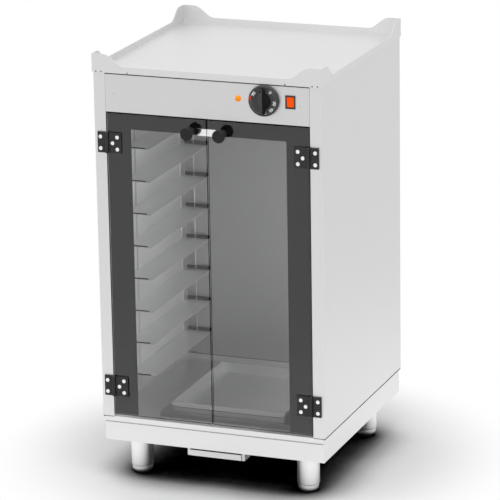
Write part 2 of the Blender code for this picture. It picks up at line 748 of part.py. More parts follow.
def build_lamp():
    """The pilot lamp: a domed lens on a round body that passes through the panel."""
    rim = LAMP_RADIUS - LAMP_RIM
    profile = [(0, -LAMP_BODY_LENGTH), (LAMP_BODY_RADIUS, -LAMP_BODY_LENGTH), (LAMP_BODY_RADIUS, FIT)]
    profile += [(LAMP_RADIUS, FIT), (LAMP_RADIUS, FIT + LAMP_RIM), (rim, FIT + LAMP_RIM)]
    for i in range(1, ARC_STEPS):
        angle = math.radians(90) * i / ARC_STEPS
        profile.append((rim * math.cos(angle), FIT + LAMP_RIM + LAMP_DOME * math.sin(angle)))
    profile.append((0, FIT + LAMP_RIM + LAMP_DOME))
    lens = material("pilot_lens", (1.0, 0.33, 0.02), 0.25)
    turned("pilot_lamp", profile, lens, (LAMP_X, FRONT, CONTROL_Z), FACING_FRONT, SMALL_STEPS)


def build_supply():
    """The terminal block on the ceiling liner and the gland in the back panel."""
    y = BACK - TERMINAL_SETBACK
    foot = CEILING_TOP + FIT
    x = LEFT + TERMINAL_INSET
    low = (x - TERMINAL_LENGTH / 2, y, foot)
    high = (x + TERMINAL_LENGTH / 2, y + TERMINAL_DEPTH, foot + TERMINAL_HEIGHT)
    block("terminal_block", low, high, grey_plastic())
    inside = -SHEET - FIT
    profile = [(GLAND_BORE, inside - GLAND_NUT), (GLAND_RADIUS, inside - GLAND_NUT), (GLAND_RADIUS, inside)]
    profile += [(GLAND_THREAD_RADIUS, inside), (GLAND_THREAD_RADIUS, FIT), (GLAND_RADIUS, FIT)]
    profile += [(GLAND_RADIUS, GLAND_NUT), (GLAND_THREAD_RADIUS, GLAND_OUTSIDE), (GLAND_BORE, GLAND_OUTSIDE)]
    place = (GLAND_X, BACK, BODY_TOP - GLAND_DROP)
    turned("cable_gland", profile, black_plastic(), place, FACING_BACK, SMALL_STEPS, closed=True)


def build_rack(side):
    """One side's tray rack: ledges welded to two uprights on the liner."""
    sign = SIDES[side]
    wall = WALL_X - FIT
    bm = bmesh.new()
    for y in (FRONT + FRONT_UPRIGHT, CAVITY_BACK - REAR_UPRIGHT):
        x = sorted((sign * wall, sign * (wall - UPRIGHT)))
        foot = FLOOR_TOP + UPRIGHT_FOOT
        add_box(bm, (x[0], y, foot), (x[1], y + UPRIGHT_WIDTH, DOOR_TOP - UPRIGHT_HEAD))
    rack = add_object(f"{side}_tray_rack", bm, liner_steel())
    bm = bmesh.new()
    for level in range(TRAY_LEVELS):
        z = TOP_LEVEL - level * LEVEL_SPACING
        x = sorted((sign * (wall - UPRIGHT / 2), sign * (BODY_WIDTH / 2 - LEDGE_REACH)))
        add_box(bm, (x[0], FRONT + LEDGE_FRONT, z - LEDGE), (x[1], CAVITY_BACK - LEDGE_BACK_GAP, z))
    join(rack, add_object(f"{side}_ledges", bm, liner_steel()))


def element_front():
    return HEATER_FRONT + HEATER_DEPTH - ELEMENT_MARGIN - ELEMENT_TAIL


def element_ends():
    """Where the heating element's two ends go down through the floor pan."""
    reach = ELEMENT_SPACING * (ELEMENT_LEGS - 1) / 2
    return (HEATER_OFFSET - reach, HEATER_OFFSET + reach)


def build_heater():
    """The heater cover on the floor, and the element that winds under it."""
    low = (HEATER_OFFSET - HEATER_WIDTH / 2, HEATER_FRONT, FLOOR_TOP + FIT)
    high = (HEATER_OFFSET + HEATER_WIDTH / 2, HEATER_FRONT + HEATER_DEPTH, HEATER_TOP)
    open_box("heater_cover", low, high, (0, 0, -1), LINER, liner_steel())
    z = FLOOR_TOP + ELEMENT_RISE
    rear = element_front()
    radius = ELEMENT_SPACING / 2
    front_turn = HEATER_FRONT + ELEMENT_MARGIN + radius
    rear_turn = rear - ELEMENT_MARGIN - radius
    start, finish = element_ends()
    points = [(start, rear, FLOOR_TOP - SHEET - ELEMENT_TAIL), (start, rear, z - ELEMENT_RADIUS)]
    points.append((start, rear - ELEMENT_RADIUS, z))
    for leg in range(ELEMENT_LEGS - 1):
        x = start + ELEMENT_SPACING * leg + radius
        turn = arc((x, rear_turn), radius, 180, 0, TURN_STEPS)
        if leg % 2 == 0:
            turn = arc((x, front_turn), radius, 180, 360, TURN_STEPS)
        points += [(a, b, z) for a, b in turn]
    points += [(finish, rear - ELEMENT_RADIUS, z), (finish, rear, z - ELEMENT_RADIUS)]
    points.append((finish, rear, FLOOR_TOP - SHEET - ELEMENT_TAIL))
    tube("heating_element", points, ELEMENT_RADIUS, steel(), 1)


def build_water_pan():
    """The humidity pan: tapered walls, a flat rim and a lip turned down round it."""
    half = WATER_PAN_WIDTH / 2
    front = HEATER_FRONT + WATER_PAN_SETBACK
    bottom = HEATER_TOP + FIT + LINER
    top = HEATER_TOP + FIT + WATER_PAN_HEIGHT

    def ring(inset, z):
        x = (HEATER_OFFSET - half + inset, HEATER_OFFSET + half - inset)
        y = (front + inset, front + WATER_PAN_DEPTH - inset)
        return [(x[0], y[0], z), (x[1], y[0], z), (x[1], y[1], z), (x[0], y[1], z)]

    corners = ring(WATER_PAN_RIM + WATER_PAN_DRAFT, bottom) + ring(WATER_PAN_RIM, top)
    corners += ring(0, top) + ring(0, top - WATER_PAN_LIP)
    faces = [(0, 1, 2, 3)]
    for inner, outer in ((0, 4), (4, 8), (8, 12)):
        for i in range(4):
            after = (i + 1) % 4
            faces.append((outer + i, outer + after, inner + after, inner + i))
    sheet_object("water_pan", corners, faces, LINER, steel())


def build_drip_tray():
    """The condensate tray under the base and the channel that it slides in."""
    runner_top = BASE_BOTTOM - FIT
    inside = DRIP_WIDTH / 2 + RUNNER_CLEARANCE
    outside = inside + RUNNER_SIDE
    front = FRONT + DRIP_SETBACK
    lip_top = runner_top - RUNNER_DROP + DRIP_SHEET
    lip_bottom = lip_top - DRIP_SHEET
    lip_edge = RUNNER_LIP - inside
    outline = [(-outside, runner_top), (-outside, lip_bottom), (lip_edge, lip_bottom), (lip_edge, lip_top)]
    outline += [(-inside, lip_top), (-inside, runner_top - LINER)]
    outline += [(-x, z) for x, z in reversed(outline)]
    span = (front + RUNNER_SETBACK, front + DRIP_DEPTH)
    runner = extruded("drip_tray_runner", outline, "Y", span, steel())
    hole = DRAIN_RADIUS + DRAIN_WALL + FIT
    through = (-LINER - CUT_OVERRUN, CUT_OVERRUN)
    cut(runner, cutting_rod("runner_drain_hole", hole, through, (0, 0, runner_top)))
    low = (-DRIP_WIDTH / 2, front, lip_top + FIT)
    high = (DRIP_WIDTH / 2, front + DRIP_DEPTH, lip_top + FIT + DRIP_HEIGHT)
    open_box("drip_tray", low, high, (0, 0, 1), DRIP_SHEET, steel())


def hinge_leaf(name, sign, reach, cleared, place, finish):
    """A flat leaf and its barrel, drawn as one outline, with gaps cut for the other leaf's knuckles."""
    half = HINGE_HEIGHT / 2
    plate_back = BARREL_RADIUS
    plate_front = BARREL_RADIUS - LEAF
    lean = math.degrees(math.asin(plate_front / BARREL_RADIUS))
    round_side = arc((0, 0), BARREL_RADIUS, 90, 360 + lean, SMALL_STEPS)
    outline = [(reach, plate_back), *round_side, (reach, plate_front)]
    outline = [(sign * x, y) for x, y in outline]
    leaf = extruded(name, outline, "Z", (-half, half), finish, place, smooth=True)
    room = BARREL_RADIUS + BARREL_CLEARANCE
    for number, (low, high) in enumerate(cleared):
        cutter = block(f"{name}_gap_{number}", (-room, -room, low), (room, room, high), finish, place)
        cut(leaf, cutter)
    bore = PIN_RADIUS + PIN_CLEARANCE
    span = (-half - CUT_OVERRUN, half + CUT_OVERRUN)
    cut(leaf, cutting_rod(f"{name}_bore", bore, span, place))
    return leaf


def build_hinge(side, level, z):
    """A hinge of two leaves on one pin. It returns the leaf that swings with the door."""
    sign = SIDES[side]
    place = (sign * HINGE_X, HINGE_Y, z)
    half = HINGE_HEIGHT / 2
    above = half - KNUCKLE_HEIGHT + KNUCKLE_GAP / 2
    below = above - KNUCKLE_GAP
    middle = [(-above, above)]
    ends = [(-half - CUT_OVERRUN, -below), (below, half + CUT_OVERRUN)]
    hinge_leaf(f"{side}_{level}_frame_leaf", sign, FRAME_LEAF_REACH, middle, place, black_plastic())
    pin = [(0, -half), (PIN_RADIUS, -half), (PIN_RADIUS, half), (0, half)]
    turned(f"{side}_{level}_hinge_pin", pin, steel(), place, steps=SMALL_STEPS)
    return hinge_leaf(f"{side}_{level}_door_leaf", -sign, DOOR_LEAF_REACH, ends, place, black_plastic())


def build_door_border(side, place, free, outer):
    """The black border behind the glass along the outer side and the top, clear of the strike clip."""
    sign = SIDES[side]
    side_x = outer - sign * GLASS_EDGE
    free_x = free + sign * GLASS_EDGE
    inner_x = outer - sign * BORDER_SIDE
    clip_x = free + sign * (CLIP_LENGTH + FIT)
    top = DOOR_TOP - GLASS_EDGE
    bottom = DOOR_BOTTOM + GLASS_EDGE
    clip_top = KNOB_Z + CLIP_HEIGHT / 2 + FIT
    border_foot = DOOR_TOP - BORDER_TOP
    outline = [(side_x, bottom), (side_x, top), (free_x, top), (free_x, clip_top), (clip_x, clip_top)]
    outline += [(clip_x, border_foot), (inner_x, border_foot), (inner_x, bottom)]
    outline = [(x - place[0], z) for x, z in outline]
    front = GLASS_BACK + FIT - place[1]
    return extruded(f"{side}_door_border", outline, "Y", (front, front + BORDER), black_enamel(), place)


def build_knob(side):
    """A round knob with a flat face, on a stem with a foot against the glass."""
    profile = [(0, FIT), (KNOB_FOOT_RADIUS, FIT), (KNOB_FOOT_RADIUS, KNOB_FOOT)]
    profile.append((KNOB_STEM_RADIUS, KNOB_FOOT + KNOB_FOOT_CHAMFER))
    back = KNOB_REACH - KNOB_HEAD
    corner = KNOB_RADIUS - KNOB_ROUNDING
    profile.append((KNOB_STEM_RADIUS, back))
    profile += arc((corner, back + KNOB_ROUNDING), KNOB_ROUNDING, -90, 0)
    profile += arc((corner, KNOB_REACH - KNOB_ROUNDING), KNOB_ROUNDING, 0, 90)
    profile.append((0, KNOB_REACH))
    at = (SIDES[side] * KNOB_X, FRONT, KNOB_Z)
    return turned(f"{side}_door_knob", profile, black_plastic(), at, FACING_FRONT, LEG_STEPS)


def build_strike_clip(side, place, free):
    """A polished clip folded round the glass's free edge, which the magnet draws in."""
    sign = SIDES[side]
    edge = free - sign * FIT
    end = free + sign * CLIP_LENGTH
    path = [(end, FRONT - FIT), (edge, FRONT - FIT), (edge, GLASS_BACK + FIT), (end, GLASS_BACK + FIT)]
    path = [(x - place[0], y - place[1]) for x, y in path]
    span = (KNOB_Z - CLIP_HEIGHT / 2, KNOB_Z + CLIP_HEIGHT / 2)
    return extruded(f"{side}_strike_clip", strip_outline(path, sign * CLIP), "Z", span, steel(), place)


def build_door(side):
    """One glass leaf with all that swings with it, parented to an empty on its hinge axis."""
    sign = SIDES[side]
    place = Vector((sign * HINGE_X, HINGE_Y, 0))
    free = sign * DOOR_FREE
    outer = sign * DOOR_OUTER
    low = Vector((min(free, outer), FRONT, DOOR_BOTTOM)) - place
    high = Vector((max(free, outer), GLASS_BACK, DOOR_TOP)) - place
    pieces = [block(f"{side}_door_glass", low, high, smoked_glass(), place, GLASS_EDGE)]
    pieces.append(build_door_border(side, place, free, outer))
    pieces.append(build_knob(side))
    pieces.append(build_strike_clip(side, place, free))
    for level, z in zip(("top", "bottom"), HINGE_LEVELS):
        pieces.append(build_hinge(side, level, z))
    hinge_axis = bpy.data.objects.new(f"{side}_door_axis", None)
    hinge_axis.location = place
    bpy.context.scene.collection.objects.link(hinge_axis)
    for piece in pieces:
        piece.parent = hinge_axis
        piece.matrix_parent_inverse = Matrix.Translation(-place)


def build_catch():
    """The magnetic catch that hangs from the ceiling behind both strike clips."""
    y = GLASS_BACK + FIT + CLIP + CATCH_CLEARANCE
    low = (-CATCH_WIDTH / 2, y, KNOB_Z - CLIP_HEIGHT / 2)
    high = (CATCH_WIDTH / 2, y + CATCH_DEPTH, CEILING_BOTTOM - FIT)
    block("magnetic_catch", low, high, grey_plastic())


def build_cabinet():
    clear_scene()
    build_base()
    for end in ENDS:
        for side in SIDES:
            build_leg(side, end)
    build_floor_pan()
    build_drain()
    for side in SIDES:
        build_side_panel(side)
        build_rack(side)
        build_door(side)
    build_back_panel()
    build_liners()
    build_crown()
    build_control_panel()
    build_dial()
    build_thermostat()
    build_sensor()
    build_switch()
    build_lamp()
    build_supply()
    build_heater()
    build_water_pan()
    build_drip_tray()
    build_catch()


build_cabinet()
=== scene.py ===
import math

import bmesh
import bpy
from mathutils import Matrix, Vector


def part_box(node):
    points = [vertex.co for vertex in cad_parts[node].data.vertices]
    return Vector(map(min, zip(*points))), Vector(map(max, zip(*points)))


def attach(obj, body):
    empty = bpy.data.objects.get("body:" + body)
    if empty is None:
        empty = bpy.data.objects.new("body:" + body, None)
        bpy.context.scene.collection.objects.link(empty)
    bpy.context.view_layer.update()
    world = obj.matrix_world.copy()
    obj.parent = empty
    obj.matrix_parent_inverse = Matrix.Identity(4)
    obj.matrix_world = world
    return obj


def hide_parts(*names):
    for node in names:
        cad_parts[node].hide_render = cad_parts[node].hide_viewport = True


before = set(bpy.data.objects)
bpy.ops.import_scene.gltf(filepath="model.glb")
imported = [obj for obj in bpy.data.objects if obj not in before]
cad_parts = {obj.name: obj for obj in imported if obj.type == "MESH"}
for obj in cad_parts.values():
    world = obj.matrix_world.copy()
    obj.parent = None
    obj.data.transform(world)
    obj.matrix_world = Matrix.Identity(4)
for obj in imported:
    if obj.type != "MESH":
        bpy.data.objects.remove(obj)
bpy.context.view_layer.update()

ENDS = ("front", "rear")
SIDES = {"left": -1, "right": 1}
FACING_FRONT = Matrix.Rotation(math.radians(90), 4, "X")
FACING_BACK = Matrix.Rotation(math.radians(-90), 4, "X")
FACING_DOWN = Matrix.Rotation(math.radians(180), 4, "X")
FACING_SIDE = {side: Matrix.Rotation(math.radians(90 * sign), 4, "Y") for side, sign in SIDES.items()}

# The cabinet's measures that small pieces go by, in metres
HALF_WIDTH = 0.2600
HALF_DEPTH = 0.2600
CROWN_FRONT = 0.2630
CROWN_SIDE = 0.2618
TOP_LEDGE = 0.7281
LEDGE_PITCH = 0.0747
LEDGES = 8

# Edges of more degrees than this stay sharp, and the CAD nodes' edges are rounded by so many metres
SMOOTH_UP_TO = 32
EDGE_RADIUS = 0.0003

# Most of a noise lies between these values
NOISE_SPAN = (0.3, 0.7)


# Materials

def new_material(name):
    """An empty node material with its Principled shader."""
    made = bpy.data.materials.new(name)
    made.use_nodes = True
    return made, made.node_tree, made.node_tree.nodes["Principled BSDF"]


def noise(tree, scale, stretch=(1, 1, 1), detail=2.0):
    """The noise that a surface's own coordinates give, drawn out where stretch is small."""
    place = tree.nodes.new("ShaderNodeTexCoord")
    mapping = tree.nodes.new("ShaderNodeMapping")
    mapping.inputs["Scale"].default_value = stretch
    texture = tree.nodes.new("ShaderNodeTexNoise")
    texture.inputs["Scale"].default_value = scale
    texture.inputs["Detail"].default_value = detail
    tree.links.new(place.outputs["Object"], mapping.inputs["Vector"])
    tree.links.new(mapping.outputs["Vector"], texture.inputs["Vector"])
    return texture.outputs["Fac"]


def average(tree, first, second, share):
    """Two noises in one, with share of the second."""
    mix = tree.nodes.new("ShaderNodeMix")
    mix.inputs["Factor"].default_value = share
    tree.links.new(first, mix.inputs["A"])
    tree.links.new(second, mix.inputs["B"])
    return mix.outputs["Result"]


def ramp(tree, value, stops, socket):
    """Colours by the value of a noise."""
    made = tree.nodes.new("ShaderNodeValToRGB")
    elements = made.color_ramp.elements
    for i, (position, colour) in enumerate(stops):
        element = elements[i] if i < 2 else elements.new(position)
        element.position = position
        element.color = (*colour, 1)
    tree.links.new(value, made.inputs["Fac"])
    tree.links.new(made.outputs["Color"], socket)


def spread(tree, value, low, high, socket):
    """A noise spread over a range, such as a roughness."""
    made = tree.nodes.new("ShaderNodeMapRange")
    made.inputs["From Min"].default_value = NOISE_SPAN[0]
    made.inputs["From Max"].default_value = NOISE_SPAN[1]
    made.inputs["To Min"].default_value = low
    made.inputs["To Max"].default_value = high
    tree.links.new(value, made.inputs["Value"])
    tree.links.new(made.outputs["Result"], socket)


def bumps(tree, shader, heights):
    """Bumps from pairs of a noise and its strength and depth in metres, one on another."""
    last = None
    for value, strength, depth in heights:
        made = tree.nodes.new("ShaderNodeBump")
        made.inputs["Strength"].default_value = strength
        made.inputs["Distance"].default_value = depth
        tree.links.new(value, made.inputs["Height"])
        if last:
            tree.links.new(last, made.inputs["Normal"])
        last = made.outputs["Normal"]
    tree.links.new(last, shader.inputs["Normal"])


def tint(tree, shader, value, colour, by):
    """A base colour that goes from a little darker to a little lighter with a noise."""
    dark, plain, light = [tuple(min(1, part * share) for part in colour) for share in (1 - by, 1, 1 + by)]
    stops = [(NOISE_SPAN[0], dark), (NOISE_SPAN[1], light), (0.5, plain)]
    ramp(tree, value, stops, shader.inputs["Base Color"])


def brushed(name, colour, roughness, grain, depth=0.00003, vary=0.018):
    """Steel with a fine grain drawn along the sheet and slow changes of sheen over it."""
    made, tree, shader = new_material(name)
    fine = noise(tree, 1.0, grain, 3.0)
    broad = noise(tree, 5.0)
    both = average(tree, fine, broad, 0.35)
    tint(tree, shader, both, colour, vary)
    spread(tree, both, roughness * 0.82, roughness * 1.2, shader.inputs["Roughness"])
    bumps(tree, shader, [(fine, 0.25, depth), (broad, 0.05, 0.004)])
    shader.inputs["Metallic"].default_value = 1.0
    return made


def polished(name, colour, roughness):
    """Bright steel with faint clouds of wear."""
    made, tree, shader = new_material(name)
    cloud = noise(tree, 60.0)
    tint(tree, shader, cloud, colour, 0.03)
    spread(tree, cloud, roughness * 0.7, roughness * 1.4, shader.inputs["Roughness"])
    bumps(tree, shader, [(cloud, 0.08, 0.0002)])
    shader.inputs["Metallic"].default_value = 1.0
    return made


def moulded(name, colour, roughness, grain_depth=0.00004, gloss=1.25):
    """Plastic or paint with a fine moulded grain."""
    made, tree, shader = new_material(name)
    grain = noise(tree, 1600.0)
    cloud = noise(tree, 45.0)
    tint(tree, shader, average(tree, grain, cloud, 0.6), colour, 0.14)
    spread(tree, cloud, roughness * 0.88, roughness * 1.12, shader.inputs["Roughness"])
    bumps(tree, shader, [(grain, 0.3, grain_depth), (cloud, 0.05, 0.0004)])
    shader.inputs["IOR"].default_value = gloss
    return made


def paint_edge_shade(made, dark):
    """Darkens the faces that stand square to the front, such as a plate's edges, with painted shade: a
    near-black base colour on them.
    """
    tree = made.node_tree
    shader = tree.nodes["Principled BSDF"]
    painted = shader.inputs["Base Color"].links[0].from_socket
    place = tree.nodes.new("ShaderNodeTexCoord")
    parts = tree.nodes.new("ShaderNodeSeparateXYZ")
    tree.links.new(place.outputs["Normal"], parts.inputs["Vector"])
    edge = tree.nodes.new("ShaderNodeMapRange")
    edge.inputs["From Min"].default_value = -0.30
    edge.inputs["From Max"].default_value = -0.55
    tree.links.new(parts.outputs["Y"], edge.inputs["Value"])
    choice = tree.nodes.new("ShaderNodeMix")
    choice.data_type = "RGBA"
    choice.inputs["A"].default_value = (dark, dark, dark, 1)
    tree.links.new(edge.outputs["Result"], choice.inputs["Factor"])
    tree.links.new(painted, choice.inputs["B"])
    tree.links.new(choice.outputs["Result"], shader.inputs["Base Color"])
    return made


def smoked(name, index, share):
    """Smoked glass: it takes a share of the light, lets the rest straight through, and reflects."""
    made, tree, shader = new_material(name)
    wipe = noise(tree, 7.0, (1, 1, 0.35), 4.0)
    stops = [(NOISE_SPAN[0], (0.010, 0.011, 0.011)), (NOISE_SPAN[1], (0.022, 0.023, 0.023))]
    ramp(tree, wipe, stops, shader.inputs["Base Color"])
    spread(tree, wipe, 0.004, 0.02, shader.inputs["Roughness"])
    bumps(tree, shader, [(noise(tree, 9.0), 0.02, 0.0006)])
    shader.inputs["IOR"].default_value = index
    shader.inputs["Alpha"].default_value = share
    return made


def lens(name, colour, glow, strength):
    """A lit lens with clouds in its colour."""
    made, tree, shader = new_material(name)
    cloud = noise(tree, 220.0)
    tint(tree, shader, cloud, colour, 0.10)
    spread(tree, cloud, 0.42, 0.52, shader.inputs["Roughness"])
    bumps(tree, shader, [(noise(tree, 900.0), 0.1, 0.0001)])
    shader.inputs["IOR"].default_value = 1.2
    shader.inputs["Emission Color"].default_value = (*glow, 1)
    shader.inputs["Emission Strength"].default_value = strength
    return made


SKIN = (0.74, 0.74, 0.744)
# The steel finishes below are copies of one brushed steel whose tones are set apart for how light falls on
# each part, which is painted light and shade: the crown and base are lighter than the side panels, the front
# control panel and drip tray darker, and the back liner much darker than the side liners.
FINISHES = {
    "upright": brushed("steel_grain_upright", SKIN, 0.46, (420, 420, 5)),
    "level": brushed("steel_grain_level", (0.70, 0.70, 0.704), 0.46, (5, 5, 420)),
    "crown": brushed("steel_crown", (0.755, 0.755, 0.759), 0.46, (5, 420, 420)),
    "base": brushed("steel_base", (0.79, 0.79, 0.794), 0.50, (5, 5, 420)),
    "liner": brushed("steel_liner", (0.90, 0.903, 0.905), 0.66, (330, 330, 5)),
    "rear": brushed("steel_rear_liner", (0.56, 0.562, 0.564), 0.62, (330, 330, 5)),
    "floor": brushed("steel_cavity_floor", (0.70, 0.702, 0.704), 0.42, (5, 330, 330)),
    "cover": brushed("steel_heater_cover", (0.46, 0.462, 0.464), 0.42, (5, 330, 330)),
    "rack": brushed("steel_rack", (0.90, 0.903, 0.905), 0.58, (330, 5, 330)),
    "tube": brushed("steel_tube", (0.84, 0.84, 0.84), 0.38, (300, 300, 8), 0.00001, 0.01),
    "mill": brushed("steel_mill", (0.66, 0.665, 0.67), 0.36, (200, 200, 20)),
    "polished": polished("steel_polished", (0.86, 0.86, 0.865), 0.12),
    "glass": smoked("smoked_door_glass", 1.2, 0.14),
    "film": smoked("glass_film", 2.7, 0.17),
    "enamel": moulded("black_border_enamel", (0.012, 0.012, 0.0125), 0.60, 0.000002, 1.15),
    # The hinge leaves' side faces are near-black: painted shade on their edges.
    "hinge": paint_edge_shade(moulded("hinge_paint_and_painted_edge_shade", (0.056, 0.056, 0.057), 0.50, 0.00008), 0.006),
    "plastic": moulded("black_moulding", (0.085, 0.085, 0.086), 0.55),
    "gloss": moulded("black_phenolic", (0.030, 0.030, 0.031), 0.50, 0.00002),
    # Grey: real grey mouldings, and a painted shadow line under the floor's lip.
    "grey": moulded("grey_moulding_and_painted_shadow", (0.30, 0.30, 0.31), 0.50),
    # Near-black: the feet's rubber soles, and painted shade on the thermostat knob's grip flanks and right
    # hollow.
    "rubber_and_painted_shade": moulded("foot_sole_and_painted_shade", (0.012, 0.012, 0.012), 0.70),
    # Near-black: the knob's printed pointer dot, and painted shade in the gaps, holes, seams and edges that
    # the small pieces fill.
    "gap": moulded("dark_print_and_painted_gap_shade", (0.006, 0.006, 0.006), 0.80, 0.00002, 1.05),
    "white": moulded("dial_white", (0.95, 0.95, 0.94), 0.45),
    "red": moulded("dial_red", (0.78, 0.075, 0.065), 0.45),
    "amber": lens("amber_lens", (0.92, 0.27, 0.012), (1.0, 0.28, 0.01), 0.45),
    "lit": lens("rocker_lens", (0.90, 0.075, 0.005), (1.0, 0.085, 0.004), 0.55),
}


# Meshes

def new_object(name, data):
    """An object of that data, in the scene."""
    obj = bpy.data.objects.new(name, data)
    bpy.context.scene.collection.objects.link(obj)
    return obj


def new_mesh(name, bm):
    """The mesh of a bmesh that is done with."""
    mesh = bpy.data.meshes.new(name)
    bm.to_mesh(mesh)
    bm.free()
    return mesh


def final_mesh(obj):
    """An object's mesh with its modifiers carried out, or a text's mesh."""
    bpy.context.view_layer.update()
    return bpy.data.meshes.new_from_object(obj.evaluated_get(bpy.context.evaluated_depsgraph_get()))


def add_piece(name, bm, finishes, body, replaced=()):
    """Makes a mesh piece that rides on a body."""
    bmesh.ops.recalc_face_normals(bm, faces=bm.faces[:])
    mesh = new_mesh(name, bm)
    mesh.shade_smooth()
    mesh.set_sharp_from_angle(angle=math.radians(SMOOTH_UP_TO))
    for finish in finishes:
        mesh.materials.append(FINISHES[finish])
    obj = new_object(name, mesh)
    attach(obj, body)
    if replaced:
        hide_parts(*replaced)


def at(place, facing):
    """A place where +Z is turned the way it faces."""
    return Matrix.Translation(place) @ facing


def arc(centre, radius, start, end, steps=8):
    """Points on an arc in a profile's plane, between two angles in degrees."""
    points = []
    for i in range(steps + 1):
        angle = math.radians(start + (end - start) * i / steps)
        points.append((centre[0] + radius * math.cos(angle), centre[1] + radius * math.sin(angle)))
    return points


def turn(bm, profile, matrix, steps=64, slot=0):
    """Adds a body turned about +Z from pairs of radius and height, then places it."""
    before = set(bm.faces)
    rings = []
    for radius, height in profile:
        if radius < 1e-6:
            rings.append([bm.verts.new(matrix @ Vector((0, 0, height)))] * steps)
            continue
        ring = []
        for i in range(steps):
            angle = math.tau * i / steps
            point = Vector((radius * math.cos(angle), radius * math.sin(angle), height))
            ring.append(bm.verts.new(matrix @ point))
        rings.append(ring)
    for lower, upper in zip(rings, rings[1:]):
        for i in range(steps):
            after = (i + 1) % steps
            corners = []
            for corner in (lower[i], lower[after], upper[after], upper[i]):
                if corner not in corners:
                    corners.append(corner)
            if len(corners) > 2:
                bm.faces.new(corners)
    for face in set(bm.faces) - before:
        face.material_index = slot


def loft(bm, sections, slot=0):
    """Adds a closed body through rings of as many points each, from the first to the last."""
    rings = [[bm.verts.new(point) for point in section] for section in sections]
    made = [bm.faces.new(reversed(rings[0])), bm.faces.new(rings[-1])]
    for lower, upper in zip(rings, rings[1:]):
        for i in range(len(lower)):
            after = (i + 1) % len(lower)
            made.append(bm.faces.new((lower[i], lower[after], upper[after], upper[i])))
    for face in made:
        face.material_index = slot


def sheet(bm, rows, flip, slot=0):
    """A surface through rows of points, all rows as long as each other."""
    grid = [[bm.verts.new(point) for point in row] for row in rows]
    for upper, lower in zip(grid, grid[1:]):
        for i in range(len(upper) - 1):
            corners = [upper[i], upper[i + 1], lower[i + 1], lower[i]]
            face = bm.faces.new(corners[::-1] if flip else corners)
            face.material_index = slot


def add_copy(bm, mesh, matrix, slot=0):
    """Adds a placed copy of a mesh."""
    first = len(bm.verts)
    start = len(bm.faces)
    bm.from_mesh(mesh)
    bm.verts.ensure_lookup_table()
    bm.faces.ensure_lookup_table()
    for corner in bm.verts[first:]:
        corner.co = matrix @ corner.co
    for face in bm.faces[start:]:
        face.material_index = slot


def screw_head(radius, height):
    """A pan head with a cross recess, as a mesh whose head faces +Z."""
    bm = bmesh.new()
    wall = height * 0.2
    shoulder = height * 0.55
    profile = [(0, 0), (radius, 0), (radius, wall)]
    profile += arc((radius - shoulder, wall), shoulder, 10, 70, 5)
    crown = profile[-1]
    for i in range(1, 5):
        rest = 1 - i / 4
        profile.append((crown[0] * rest, crown[1] + (height - crown[1]) * (1 - rest ** 2)))
    turn(bm, profile, Matrix.Identity(4), 32)
    bmesh.ops.recalc_face_normals(bm, faces=bm.faces[:])
    head = new_object("screw_head", new_mesh("screw_head", bm))
    cutters = []
    for width, length in ((0.13, 0.55), (0.55, 0.13)):
        bm = bmesh.new()
        size = Matrix.Diagonal((width * radius * 2, length * radius * 2, height * 1.2, 1))
        bmesh.ops.create_cube(bm, size=1, matrix=Matrix.Translation((0, 0, height)) @ size)
        cutters.append(new_object("screw_recess", new_mesh("screw_recess", bm)))
    for cutter in cutters:
        modifier = head.modifiers.new("recess", "BOOLEAN")
        modifier.operation = "DIFFERENCE"
        modifier.object = cutter
    result = final_mesh(head)
    for obj in (head, *cutters):
        bpy.data.objects.remove(obj)
    return result


# CAD nodes: finishes, softened edges and smooth round faces

def smoothing():
    """A node group that shades faces smooth and keeps the sharper edges sharp."""
    group = bpy.data.node_groups.new("smooth_by_angle", "GeometryNodeTree")
    group.interface.new_socket(name="Geometry", in_out="INPUT", socket_type="NodeSocketGeometry")
    group.interface.new_socket(name="Geometry", in_out="OUTPUT", socket_type="NodeSocketGeometry")
    entry = group.nodes.new("NodeGroupInput")
    result = group.nodes.new("NodeGroupOutput")
    angle = group.nodes.new("GeometryNodeInputMeshEdgeAngle")
    sharp = group.nodes.new("FunctionNodeCompare")
    sharp.data_type = "FLOAT"
    sharp.operation = "GREATER_THAN"
    sharp.inputs["B"].default_value = math.radians(SMOOTH_UP_TO)
    faces = group.nodes.new("GeometryNodeSetShadeSmooth")
    faces.domain = "FACE"
    edges = group.nodes.new("GeometryNodeSetShadeSmooth")
    edges.domain = "EDGE"
    edges.inputs["Shade Smooth"].default_value = False
    group.links.new(angle.outputs["Unsigned Angle"], sharp.inputs["A"])
    group.links.new(entry.outputs["Geometry"], faces.inputs["Geometry"])
    group.links.new(faces.outputs["Geometry"], edges.inputs["Geometry"])
    group.links.new(sharp.outputs["Result"], edges.inputs["Selection"])
    group.links.new(edges.outputs["Geometry"], result.inputs["Geometry"])
    return group


SMOOTHING = smoothing()


def dress(node, finish, edge):
    """Gives a CAD node its finish, welds its faces for shading and rounds its edges a little."""
    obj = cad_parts[node]
    obj.data.materials.clear()
    obj.data.materials.append(FINISHES[finish])
    weld = obj.modifiers.new("weld", "WELD")
    weld.merge_threshold = 0.00001
    smooth = obj.modifiers.new("smooth", "NODES")
    smooth.node_group = SMOOTHING
    if edge:
        bevel = obj.modifiers.new("edge", "BEVEL")
        bevel.width = edge
        bevel.segments = 2
        bevel.limit_method = "ANGLE"
        bevel.angle_limit = math.radians(40)
        bevel.harden_normals = True
        bevel.use_clamp_overlap = True


